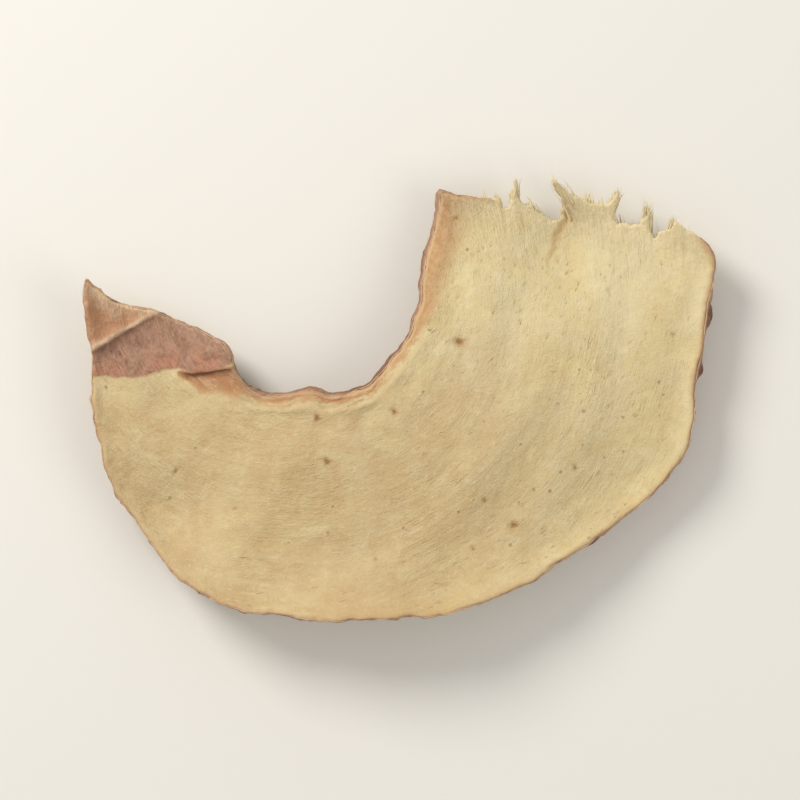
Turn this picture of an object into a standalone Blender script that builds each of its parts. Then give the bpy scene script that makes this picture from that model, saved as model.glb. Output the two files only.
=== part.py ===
# A dried slice of galangal root, lying on its back face.
# Lengths are in millimetres, and become metres when the mesh is made.

import math
import random

import bpy
import numpy as np
from mathutils import Vector
from mathutils.geometry import delaunay_2d_cdt

MM = 0.001

# Driving dimensions
THICKNESS = 3.1            # of the slice in its body
TORN_THICKNESS = 1.5       # at the torn fibre edge
TORN_TAPER = 7.0           # how far in from the torn edge the slice thins
WALL_BULGE = 0.22          # how far the skin stands out between the two faces
BACK_BEVEL = (0.55, 0.12)  # round edge of the back face: its width, and its share of the thickness

# The outline, anticlockwise: x, y, width of the rounded front edge, drop of that edge below the face
# as a share of the thickness. The outer run goes from the horn's tip round the bottom to the torn edge.
OUTER_EDGE = [
    (-25.0, 8.9, 0.7, 0.10),
    (-25.0, 5.9, 0.7, 0.12),
    (-24.6, 2.8, 0.7, 0.14),
    (-24.8, -0.6, 0.7, 0.14),
    (-24.2, -3.9, 0.7, 0.14),
    (-23.0, -8.1, 0.7, 0.14),
    (-20.8, -10.9, 0.8, 0.16),
    (-18.4, -14.3, 0.8, 0.18),
    (-14.4, -16.8, 0.9, 0.20),
    (-8.7, -18.0, 0.9, 0.20),
    (-2.2, -18.2, 0.8, 0.20),
    (3.9, -17.4, 0.8, 0.18),
    (9.6, -15.7, 0.7, 0.16),
    (13.7, -13.3, 0.7, 0.14),
    (17.1, -10.7, 0.6, 0.14),
    (20.1, -8.4, 0.6, 0.14),
    (22.2, -6.1, 0.6, 0.14),
    (23.4, -3.8, 0.6, 0.14),
    (23.9, -1.5, 0.6, 0.14),
    (23.7, 1.5, 0.6, 0.14),
    (24.3, 3.8, 0.6, 0.14),
    (24.4, 6.0, 0.6, 0.14),
    (25.1, 9.0, 0.5, 0.14),
    (24.9, 11.0, 0.5, 0.14),
    (24.2, 12.3, 0.5, 0.14),
]

# The inner run goes down the bay's right side and along its floor.
BAY_EDGE = [
    (3.3, 16.1, 0.9, 0.20),
    (2.7, 13.2, 1.2, 0.30),
    (2.0, 9.7, 1.2, 0.30),
    (1.7, 6.9, 1.2, 0.30),
    (1.0, 4.7, 1.2, 0.30),
    (-0.3, 2.8, 1.2, 0.32),
    (-1.7, 1.1, 1.3, 0.40),
    (-3.2, 0.0, 1.4, 0.48),
    (-5.2, -0.3, 1.4, 0.50),
    (-7.6, 0.1, 1.4, 0.50),
    (-9.5, -0.3, 1.3, 0.50),
    (-11.5, -0.2, 1.2, 0.44),
]

# It ends with the horn's upper edge, up to the tip.
HORN_EDGE = [
    (-12.9, 1.3, 1.0, 0.30),
    (-13.3, 2.9, 0.7, 0.12),
    (-14.2, 4.0, 0.7, 0.10),
    (-17.1, 5.2, 0.7, 0.10),
    (-19.5, 6.3, 0.7, 0.10),
    (-22.0, 7.0, 0.7, 0.10),
    (-23.6, 7.8, 0.7, 0.10),
    (-25.0, 8.9, 0.7, 0.10),
]

# Fibre teeth of the torn edge, from right to left: the right foot, the tip, the left foot.
TEETH = [
    ((23.5, 12.9), (22.1, 13.8), (20.9, 12.8)),
    ((20.4, 12.5), (19.95, 15.1), (19.4, 13.5)),
    ((17.4, 13.6), (17.6, 16.2), (16.4, 15.0)),
    ((15.4, 15.3), (12.3, 17.1), (13.2, 14.0)),
    ((12.0, 13.9), (10.7, 15.4), (10.1, 15.0)),
    ((9.85, 15.3), (9.25, 17.2), (8.7, 14.8)),
    ((8.35, 14.8), (7.9, 15.9), (7.4, 15.5)),
]
TOOTH_HOLLOW = 0.20        # how hollow a tooth's flanks are, as a share of the tooth's width
TIP_WIDTH = 0.20
TORN_EDGE = (0.45, 0.16)   # width and drop of the rounded edge there
TORN_LINE = ((24.0, 12.9), (3.3, 16.0))
BODY_START = -4.0          # the thinning towards the torn edge fades out over the next stretch to the right
BODY_FADE = 5.0

# Unevenness of the skin edge: spacing of the wrinkles and their depth.
WRINKLES = ((5.0, 0.20), (2.2, 0.13), (1.3, 0.06))
WALL_WRINKLE = (1.9, 0.6)

# The skin's edge stands up as a lip, with a shrunken hollow behind it: distance in, width, height.
LIP = (0.0, 0.5, 0.16)
HOLLOW = (1.6, 1.2, -0.16)

# The horn keeps the root's own skin above its line. The skin has a raised ring, and a slit under its edge.
HORN_LINE = ((-26.0, 0.8), (-12.6, 2.1))
HORN_DROP = 1.65
HORN_ARC = 1.25            # radians of the round root that the skin's fall follows
HORN_WRINKLE = 0.10
RING_LINE = ((-24.9, 3.6), (-19.2, 6.5))
RING = (0.45, 0.38)        # width and height
SLIT_LINE = ((-17.6, 1.55), (-13.2, 1.95))
SLIT = (0.3, -0.7)
CRACK_LINE = ((13.0, 14.2), (12.4, 10.9))
CRACK = (0.4, -0.45)

# The fibres run in arcs round this point, and leave low ridges.
FIBRE_CENTRE = (-9.0, 9.0)
RIDGE_HEIGHT = 0.05
RIPPLE_HEIGHT = 0.06

# The dried slice's lie: a low dome whose rim turns up, with curled stretches: x, y, radius, rise.
DOME_REACH = (25.0, 17.5)
DOME_FALL = 4.0
RIM_RISE = 2.7
RIM_WAVE = 0.4             # how unevenly the rim turns up round the slice
RIM_WAVE_TURN = math.radians(100)
CURLS = [
    (-25.0, 8.5, 7.0, 2.2),
    (-2.0, -19.0, 8.5, 0.8),
    (3.0, 18.0, 5.0, 0.6),
    (-26.0, -1.0, 5.0, 0.5),
    (25.5, 4.0, 6.5, 0.7),
]
BUCKLE_HEIGHT = 0.20

# It rests on three low points, each pressed flat.
FEET = [(-18.5, -9.5), (18.0, -7.5), (13.0, 11.4)]
FOOT_DEPTH = 0.95
FOOT_RADIUS = 3.4
FOOT_SINK = 0.10

# Traces of rootlets on the back face: x, y, radius.
ROOT_TRACES = [(-9.5, -7.5, 1.3), (7.5, -5.0, 1.35), (15.5, 3.5, 1.2)]
TRACE = (0.35, 0.16)       # width and height of the ring

# Mesh spacings
RIM_STEP = 0.62
TOOTH_STEP = 0.40
FRONT_STEP = 0.90
BACK_STEP = 1.10
DETAIL_STEP = 0.55
RIM_RINGS = ((0.36, 1), (1.0, 2))    # distance in from the outline, and which of its points are followed
WALL_BANDS = 4
CLOSEST = 0.33
JITTER = 0.12


def clear_scene():
    for thing in list(bpy.data.objects):
        bpy.data.objects.remove(thing)


def smooth_step(value):
    t = np.clip(value, 0.0, 1.0)
    return t * t * (3.0 - 2.0 * t)


def bell(distance, width):
    return np.exp(-((distance / width) ** 2))


def wander(run, spacing, seed):
    """A smooth seeded line between -1 and 1 that turns about once in each spacing."""
    draw = random.Random(seed)
    knots = np.array([draw.uniform(-1.0, 1.0) for _ in range(int(run.max() / spacing) + 3)])
    place = run / spacing
    first = place.astype(int)
    share = smooth_step(place - first)
    return knots[first] * (1 - share) + knots[first + 1] * share


# Outline

def smooth_run(rows, step):
    """Points about a step apart on a centripetal Catmull-Rom curve through the rows."""
    rows = np.array(rows, dtype=float)
    rows = np.vstack([2 * rows[0] - rows[1], rows, 2 * rows[-1] - rows[-2]])
    points = []
    for p0, p1, p2, p3 in zip(rows, rows[1:], rows[2:], rows[3:]):
        t1 = math.dist(p0[:2], p1[:2]) ** 0.5
        t2 = t1 + math.dist(p1[:2], p2[:2]) ** 0.5
        t3 = t2 + math.dist(p2[:2], p3[:2]) ** 0.5
        count = max(2, round(math.dist(p1[:2], p2[:2]) / step))
        for k in range(count):
            t = t1 + (t2 - t1) * k / count
            a1 = p0 + (p1 - p0) * t / t1
            a2 = p1 + (p2 - p1) * (t - t1) / (t2 - t1)
            a3 = p2 + (p3 - p2) * (t - t2) / (t3 - t2)
            b1 = a1 + (a2 - a1) * t / t2
            b2 = a2 + (a3 - a2) * (t - t1) / (t3 - t1)
            points.append(b1 + (b2 - b1) * (t - t1) / (t2 - t1))
    return points


def flank(start, end, hollow):
    """Points on one hollow side of a tooth, without its last point."""
    start = np.array(start)
    end = np.array(end)
    length = math.dist(start, end)
    along = (end - start) / length
    middle = (start + end) / 2 + np.array([-along[1], along[0]]) * hollow
    count = max(2, round(length / TOOTH_STEP))
    points = []
    for k in range(count):
        t = k / count
        points.append(start * (1 - t) ** 2 + middle * 2 * t * (1 - t) + end * t * t)
    return points


def torn_run():
    points = []
    for right_foot, tip, left_foot in TEETH:
        hollow = TOOTH_HOLLOW * math.dist(right_foot, left_foot)
        points += flank(right_foot, (tip[0] + TIP_WIDTH / 2, tip[1]), hollow)
        points += flank((tip[0] - TIP_WIDTH / 2, tip[1]), left_foot, hollow)
        points.append(np.array(left_foot))
    return [np.array([*point, *TORN_EDGE]) for point in points]


def outward_normals(loop):
    along = np.roll(loop, -1, axis=0) - np.roll(loop, 1, axis=0)
    along /= np.linalg.norm(along, axis=1)[:, None]
    return np.column_stack([along[:, 1], -along[:, 0]])


def run_length(loop):
    steps = loop[:, :2] - np.roll(loop[:, :2], 1, axis=0)
    return np.cumsum(np.linalg.norm(steps, axis=1))


def outline():
    """The closed outline as x, y, edge width, edge drop and how much of the edge is skin."""
    outer = smooth_run(OUTER_EDGE, RIM_STEP)
    torn = torn_run()
    inner = smooth_run(BAY_EDGE + HORN_EDGE, RIM_STEP)
    skin = np.array([1.0] * len(outer) + [0.0] * len(torn) + [1.0] * len(inner))
    rows = np.array(outer + torn + inner)
    run = run_length(rows)
    shift = np.zeros(len(rows))
    for seed, (spacing, depth) in enumerate(WRINKLES):
        shift += depth * wander(run, spacing, seed)
    rows[:, :2] += outward_normals(rows[:, :2]) * (shift * skin)[:, None]
    return np.column_stack([rows, skin])


def edge_distance(points, loop):
    """Distance from each point to the outline, and the outline's values near the point."""
    start = loop[None, :, :2]
    span = np.roll(loop, -1, axis=0)[None, :, :2] - start
    offset = points[:, None, :] - start
    share = np.clip((offset * span).sum(2) / (span ** 2).sum(2), 0.0, 1.0)
    distance = np.linalg.norm(offset - span * share[:, :, None], axis=2)
    weight = 1.0 / (distance + 0.02) ** 5
    values = (weight @ loop[:, 2:]) / weight.sum(1)[:, None]
    return distance.min(1), values


def inside(points, loop):
    x0, y0 = loop[:, 0], loop[:, 1]
    x1, y1 = np.roll(x0, -1), np.roll(y0, -1)
    px, py = points[:, 0][:, None], points[:, 1][:, None]
    spans = (y0 > py) != (y1 > py)
    rise = np.where(y1 == y0, 1.0, y1 - y0)
    crossings = spans & (px < (x1 - x0) * (py - y0) / rise + x0)
    return crossings.sum(1) % 2 == 1


# Heights

def line_distance(x, y, line):
    """Signed distance to a line, positive on its left, and the share of the way along it."""
    (x0, y0), (x1, y1) = line
    length = math.dist(*line)
    ux, uy = (x1 - x0) / length, (y1 - y0) / length
    along = (x - x0) * ux + (y - y0) * uy
    return (y - y0) * ux - (x - x0) * uy, along / length


def middle_height(x, y):
    reach = (x / DOME_REACH[0]) ** 2 + (y / DOME_REACH[1]) ** 2
    wave = 1.0 + RIM_WAVE * np.cos(2 * (np.arctan2(y, x) - RIM_WAVE_TURN))
    height = RIM_RISE * wave * reach ** 3 - DOME_FALL * reach
    for centre_x, centre_y, radius, rise in CURLS:
        height = height + rise * bell(np.hypot(x - centre_x, y - centre_y), radius)
    for foot_x, foot_y in FEET:
        height = height - FOOT_DEPTH * bell(np.hypot(x - foot_x, y - foot_y), FOOT_RADIUS)
    return height + BUCKLE_HEIGHT * np.sin(0.43 * x + 2.4) * np.sin(0.38 * y + 1.2)


def thickness(x, y):
    inward, _ = line_distance(x, y, TORN_LINE)
    thinning = 1.0 - smooth_step(inward / TORN_TAPER)
    thinning = thinning * smooth_step((x - BODY_START) / BODY_FADE)
    return THICKNESS - (THICKNESS - TORN_THICKNESS) * thinning


def rounded(distance, width):
    """Height share of a rounded edge: 0 at the outline and 1 past its width."""
    gap = 1.0 - np.clip(distance / width, 0.0, 1.0)
    return np.sqrt(1.0 - gap * gap)


def segment_distance(x, y, line):
    off, share = line_distance(x, y, line)
    past = np.maximum(np.maximum(-share, share - 1.0), 0.0) * math.dist(*line)
    return np.hypot(off, past)


def mark(x, y, line, shape):
    """A rounded ridge or groove along a line."""
    width, height = shape
    return height * bell(segment_distance(x, y, line), width)


def horn_skin(x, y):
    """Fall of the root's own skin on the horn, with its wrinkles, its ring and its slit."""
    above, share = line_distance(x, y, HORN_LINE)
    inner = np.maximum(above + 0.2 * np.sin(1.1 * x), 0.0) * (share < 1.0)
    corners = [row[:2] for row in HORN_EDGE]
    below = np.min([segment_distance(x, y, line) for line in zip(corners, corners[1:])], axis=0)
    part = below / (below + inner + 1e-6)
    fall = HORN_DROP * (1.0 - np.sin(part * HORN_ARC) / math.sin(HORN_ARC)) * (inner > 0.0)
    on_skin = smooth_step(inner / 1.2)
    wrinkle = HORN_WRINKLE * np.sin(3.3 * x + 1.3 * y + 0.6 * np.sin(1.4 * y))
    return (wrinkle + mark(x, y, RING_LINE, RING)) * on_skin - fall + mark(x, y, SLIT_LINE, SLIT)


def edge_relief(distance, values):
    """The skin's lip and the shrunken hollow behind it."""
    width, skin = values[:, 0], values[:, 2]
    relief = 0.0
    for place, spread, height in (LIP, HOLLOW):
        relief = relief + height * skin * bell(distance - width - place, spread)
    return relief


def front_height(x, y, distance, values):
    width, drop = values[:, 0], values[:, 1]
    edge = 0.5 - drop * (1.0 - rounded(distance, width))
    height = middle_height(x, y) + thickness(x, y) * edge
    height += horn_skin(x, y) + edge_relief(distance, values) + mark(x, y, CRACK_LINE, CRACK)
    reach = np.hypot(x - FIBRE_CENTRE[0], y - FIBRE_CENTRE[1])
    height += RIDGE_HEIGHT * np.sin(1.1 * reach + 0.3 * x)
    return height + RIPPLE_HEIGHT * np.sin(0.8 * x - 0.5 * y)


def back_height(x, y, distance, values):
    width, drop = BACK_BEVEL
    edge = 0.5 - drop * (1.0 - rounded(distance, width))
    height = middle_height(x, y) - thickness(x, y) * edge
    ring_width, ring_height = TRACE
    for trace_x, trace_y, radius in ROOT_TRACES:
        reach = np.hypot(x - trace_x, y - trace_y)
        height -= ring_height * bell(reach - radius, ring_width)
    return height


def resting_plane(loop):
    """The plane through the low points of the back face, as a, b, c of a + b x + c y."""
    feet = np.array(FEET)
    distance, values = edge_distance(feet, loop)
    heights = back_height(feet[:, 0], feet[:, 1], distance, values) + FOOT_SINK
    rows = np.column_stack([np.ones(len(feet)), feet])
    return np.linalg.solve(rows, heights)


def lay(points, loop, height_of):
    """The points of one face, raised to their heights above the surface that the slice lies on."""
    distance, values = edge_distance(points, loop)
    x, y = points[:, 0], points[:, 1]
    base, slope_x, slope_y = resting_plane(loop)
    height = height_of(x, y, distance, values) - (base + slope_x * x + slope_y * y)
    return np.column_stack([points, np.maximum(height, 0.0)])


# Mesh points

def rim_points(loop, offset, keep_every):
    """Points at one distance in from the outline, where the slice is wide enough for them."""
    points = (loop[:, :2] - outward_normals(loop[:, :2]) * offset)[::keep_every]
    distance, _ = edge_distance(points, loop)
    return points[inside(points, loop) & (distance > offset * 0.86)]


def field_points(loop, spacing, seed):
    """A loose triangular grid of points inside the rim rings."""
    draw = random.Random(seed)
    low = loop[:, :2].min(0)
    high = loop[:, :2].max(0)
    row_step = spacing * math.sin(math.radians(60))
    points = []
    for row in range(int((high[1] - low[1]) / row_step) + 1):
        for column in range(int((high[0] - low[0]) / spacing) + 2):
            x = low[0] + (column + 0.5 * (row % 2) + draw.uniform(-JITTER, JITTER)) * spacing
            y = low[1] + row * row_step + draw.uniform(-JITTER, JITTER) * spacing
            points.append((x, y))
    points = np.array(points)
    distance, _ = edge_distance(points, loop)
    return points[inside(points, loop) & (distance > RIM_RINGS[-1][0] + 0.45 * spacing)]


def thin_out(points):
    """Drops each point that lies too close to one before it."""
    kept = []
    for point in points:
        if not kept or np.linalg.norm(np.array(kept) - point, axis=1).min() > CLOSEST:
            kept.append(point)
    return np.array(kept)


def line_points(line, width):
    """Three rows of points that follow a ridge or a groove."""
    (x0, y0), (x1, y1) = line
    length = math.dist(*line)
    ux, uy = (x1 - x0) / length, (y1 - y0) / length
    points = []
    for side in (-width, 0.0, width):
        for k in range(int(length / DETAIL_STEP) + 1):
            along = k * DETAIL_STEP
            points.append((x0 + ux * along - uy * side, y0 + uy * along + ux * side))
    return points


def circle_points(centre_x, centre_y, radii):
    points = [(centre_x, centre_y)]
    for radius in radii:
        count = max(6, round(2 * math.pi * radius / DETAIL_STEP))
        for k in range(count):
            turn = 2 * math.pi * k / count
            points.append((centre_x + radius * math.cos(turn), centre_y + radius * math.sin(turn)))
    return points


def face_points(loop, details, spacing, seed):
    """Every inner point of one face: its details first, then the rim rings, then the field."""
    details = np.array(details)
    distance, _ = edge_distance(details, loop)
    parts = [details[inside(details, loop) & (distance > CLOSEST)]]
    for offset, keep_every in RIM_RINGS:
        parts.append(rim_points(loop, offset, keep_every))
    parts.append(field_points(loop, spacing, seed))
    return thin_out(np.vstack(parts))


def front_points(loop):
    details = []
    for line, shape in ((RING_LINE, RING), (SLIT_LINE, SLIT), (CRACK_LINE, CRACK)):
        details += line_points(line, shape[0] + 0.05)
    return face_points(loop, details, FRONT_STEP, 3)


def back_points(loop):
    details = []
    for foot_x, foot_y in FEET:
        details += circle_points(foot_x, foot_y, (0.6, 1.2))
    for trace_x, trace_y, radius in ROOT_TRACES:
        details += circle_points(trace_x, trace_y, (radius - 0.45, radius, radius + 0.45))
    return face_points(loop, details, BACK_STEP, 8)


# Solid

def triangulate(loop, points):
    """Triangles of one face, as indices into the outline's points followed by the inner ones."""
    count = len(loop)
    corners = [Vector(point) for point in np.vstack([loop[:, :2], points])]
    edges = [(k, (k + 1) % count) for k in range(count)]
    result = delaunay_2d_cdt(corners, edges, [], 1, 1e-7)
    return [[result[3][index][0] for index in face] for face in result[2]]


def wall_loops(loop, front, back):
    """The loops of the wall between the two faces, from the front down, swollen and wrinkled."""
    count = len(loop)
    normals = outward_normals(loop[:, :2])
    run = run_length(loop)
    spacing, unevenness = WALL_WRINKLE
    loops = []
    for band in range(1, WALL_BANDS):
        share = band / WALL_BANDS
        swell = WALL_BULGE * loop[:, 4] * math.sin(math.pi * share)
        swell = swell * (1.0 + unevenness * wander(run, spacing, band))
        row = front[:count] * (1 - share) + back[:count] * share
        row[:, :2] += normals * swell[:, None]
        loops.append(row)
    return loops


def build_slice():
    loop = outline()
    count = len(loop)
    front_inner = front_points(loop)
    back_inner = back_points(loop)
    front = lay(np.vstack([loop[:, :2], front_inner]), loop, front_height)
    back = lay(np.vstack([loop[:, :2], back_inner]), loop, back_height)
    blocks = [front] + wall_loops(loop, front, back) + [back]
    starts = [0]
    for block in blocks[:-1]:
        starts.append(starts[-1] + len(block))

    faces = triangulate(loop, front_inner)
    for upper, lower in zip(starts, starts[1:]):
        for k in range(count):
            after = (k + 1) % count
            faces.append([upper + after, upper + k, lower + k])
            faces.append([upper + after, lower + k, lower + after])
    for a, b, c in triangulate(loop, back_inner):
        faces.append([starts[-1] + c, starts[-1] + b, starts[-1] + a])

    points = np.vstack(blocks)
    points[:, :2] -= (points.min(0)[:2] + points.max(0)[:2]) / 2
    return points * MM, faces


def dried_flesh():
    material = bpy.data.materials.new("dried_flesh")
    material.use_nodes = True
    shader = material.node_tree.nodes["Principled BSDF"]
    shader.inputs["Base Color"].default_value = (0.67, 0.55, 0.31, 1.0)
    shader.inputs["Roughness"].default_value = 0.85
    shader.inputs["Metallic"].default_value = 0.0
    return material


def main():
    clear_scene()
    points, faces = build_slice()
    mesh = bpy.data.meshes.new("galangal_slice")
    mesh.from_pydata(points.tolist(), [], faces)
    mesh.materials.append(dried_flesh())
    mesh.shade_smooth()
    piece = bpy.data.objects.new("galangal_slice", mesh)
    bpy.context.scene.collection.objects.link(piece)
    print("galangal_slice:", len(points), "points,", len(faces), "triangles")


main()
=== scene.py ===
import math
import random

import bpy
import numpy as np
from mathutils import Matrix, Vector
from mathutils.geometry import delaunay_2d_cdt


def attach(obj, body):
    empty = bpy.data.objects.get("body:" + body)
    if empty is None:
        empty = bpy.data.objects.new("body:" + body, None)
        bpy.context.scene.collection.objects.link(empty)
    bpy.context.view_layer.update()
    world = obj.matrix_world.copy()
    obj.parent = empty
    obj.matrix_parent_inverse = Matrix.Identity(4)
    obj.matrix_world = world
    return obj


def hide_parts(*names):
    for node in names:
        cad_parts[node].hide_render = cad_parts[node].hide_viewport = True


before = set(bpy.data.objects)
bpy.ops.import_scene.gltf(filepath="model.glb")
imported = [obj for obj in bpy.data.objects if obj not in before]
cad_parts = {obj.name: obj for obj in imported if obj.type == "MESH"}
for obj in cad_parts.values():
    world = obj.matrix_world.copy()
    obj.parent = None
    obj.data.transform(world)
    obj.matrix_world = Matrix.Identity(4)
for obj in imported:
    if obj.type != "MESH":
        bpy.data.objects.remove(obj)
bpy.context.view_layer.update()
mm = 0.001


# Numbers that vary smoothly

def smoothStep(value):
    t = np.clip(value, 0.0, 1.0)
    return t * t * (3.0 - 2.0 * t)


def bell(distance, width):
    return np.exp(-((distance / width) ** 2))


# a sum of ripples, each with its height, its turn along x and y, and its phase
def ripples(x, y, rows):
    return sum(height * np.sin(turnX * x + turnY * y + phase) for height, turnX, turnY, phase in rows)


# a seeded line between -1 and 1 that turns about once in each spacing
def wander(run, spacing, seed):
    draw = random.Random(seed)
    knots = np.array([draw.uniform(-1.0, 1.0) for _ in range(int(run.max() / spacing) + 3)])
    place = run / spacing
    first = place.astype(int)
    share = smoothStep(place - first)
    return knots[first] * (1 - share) + knots[first + 1] * share


def away(x, y, spot):
    return np.hypot(x - spot[0], y - spot[1])


def flat(x, y):
    return np.column_stack([x, y, np.zeros(len(x))])


# Node trees

def arithmetic(operation, swapped=False):
    def work(wire, other):
        pair = (other, wire) if swapped else (wire, other)
        return wire.board.maths(operation, *pair)
    return work


# One output socket. Arithmetic on wires adds Math nodes.
class Wire:
    def __init__(self, board, socket):
        self.board = board
        self.socket = socket

    __add__ = __radd__ = arithmetic("ADD")
    __mul__ = __rmul__ = arithmetic("MULTIPLY")
    __sub__ = arithmetic("SUBTRACT")
    __rsub__ = arithmetic("SUBTRACT", True)
    __truediv__ = arithmetic("DIVIDE")
    __pow__ = arithmetic("POWER")


# A shader or geometry tree, and the nodes that the wires come from.
class Board:
    def __init__(self, tree):
        self.tree = tree

    # settings are set before the sockets
    def node(self, kind, settings=None, inputs=None, output=0):
        node = self.tree.nodes.new(kind)
        for name, value in (settings or {}).items():
            setattr(node, name, value)
        for key, value in (inputs or {}).items():
            if isinstance(key, int):
                self.feed(node.inputs[key], value)
            else:
                self.feed([each for each in node.inputs if each.name == key and each.enabled][0], value)
        return Wire(self, node.outputs[output])

    def feed(self, socket, value):
        if isinstance(value, Wire):
            self.tree.links.new(value.socket, socket)
        else:
            socket.default_value = value

    def maths(self, operation, *values):
        return self.node("ShaderNodeMath", {"operation": operation}, dict(enumerate(values)))

    def most(self, a, b):
        return self.maths("MAXIMUM", a, b)

    def vector(self, operation, first, second):
        key = "Scale" if operation == "SCALE" else 1
        return self.node("ShaderNodeVectorMath", {"operation": operation}, {0: first, key: second})

    def stretch(self, vector, x, y, z=1.0):
        return self.vector("MULTIPLY", vector, (x, y, z))

    # x, y or z of a vector
    def part(self, vector, which):
        return self.node("ShaderNodeSeparateXYZ", None, {"Vector": vector}, "xyz".index(which))

    # object coordinates in millimetres
    def place(self):
        return self.vector("MULTIPLY", self.node("ShaderNodeTexCoord", None, None, 3), (1 / mm,) * 3)

    # 0 below low and 1 above high, smooth between; low may be above high
    def ease(self, value, low, high):
        inputs = {"Value": value, "From Min": low, "From Max": high}
        return self.node("ShaderNodeMapRange", {"interpolation_type": "SMOOTHSTEP"}, inputs)

    # 0 below low and above high, 1 between full and fading
    def band(self, value, low, full, fading, high):
        return self.ease(value, low, full) * self.ease(value, high, fading)

    def noise(self, vector, detail=2.0, roughness=0.5, distortion=0.0, scale=1.0):
        inputs = {"Vector": vector, "Scale": scale, "Detail": detail, "Roughness": roughness}
        inputs["Distortion"] = distortion
        return self.node("ShaderNodeTexNoise", None, inputs)

    # noise between about -0.5 and 0.5
    def wave(self, *look):
        return self.noise(*look) - 0.5

    def mix(self, factor, a, b):
        return self.node("ShaderNodeMix", {"data_type": "RGBA"}, {0: factor, 6: a, 7: b}, 2)

    # Colours laid over a ground. A row is a mask, or a value and where it is 0 and 1,
    # then the share of it that shows, and a colour's name or wire.
    def coat(self, tint, ground, *rows):
        ground = tint.get(ground, ground)
        for value, *ends, share, colour in rows:
            mask = self.ease(value, *ends) if ends else value
            ground = self.mix(mask * share, ground, tint.get(colour, colour))
        return ground

    def attribute(self, name):
        return self.node("ShaderNodeAttribute", {"attribute_name": name}, None, 2)

    def named(self, name, kind="FLOAT"):
        return self.node("GeometryNodeInputNamedAttribute", {"data_type": kind}, {"Name": name})

    def store(self, geometry, name, value):
        settings = {"data_type": "FLOAT", "domain": "POINT"}
        inputs = {"Geometry": geometry, "Name": name, "Value": value}
        return self.node("GeometryNodeStoreNamedAttribute", settings, inputs)

    def shift(self, geometry, offset):
        return self.node("GeometryNodeSetPosition", None, {"Geometry": geometry, "Offset": offset})

    # a round profile along a path, with its radius in millimetres
    def sweep(self, path, sides, radius):
        profile = self.node("GeometryNodeCurvePrimitiveCircle", None, {"Resolution": sides, "Radius": mm})
        inputs = {"Curve": path, "Profile Curve": profile, "Scale": radius, "Fill Caps": True}
        return self.node("GeometryNodeCurveToMesh", None, inputs)


# a colour as a paint chart gives it, 0 to 255
def paint(red, green, blue):
    light = []
    for part in (red, green, blue):
        share = part / 255
        light.append(share / 12.92 if share <= 0.04045 else ((share + 0.055) / 1.055) ** 2.4)
    return (*light, 1.0)


# The slice's form

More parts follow.
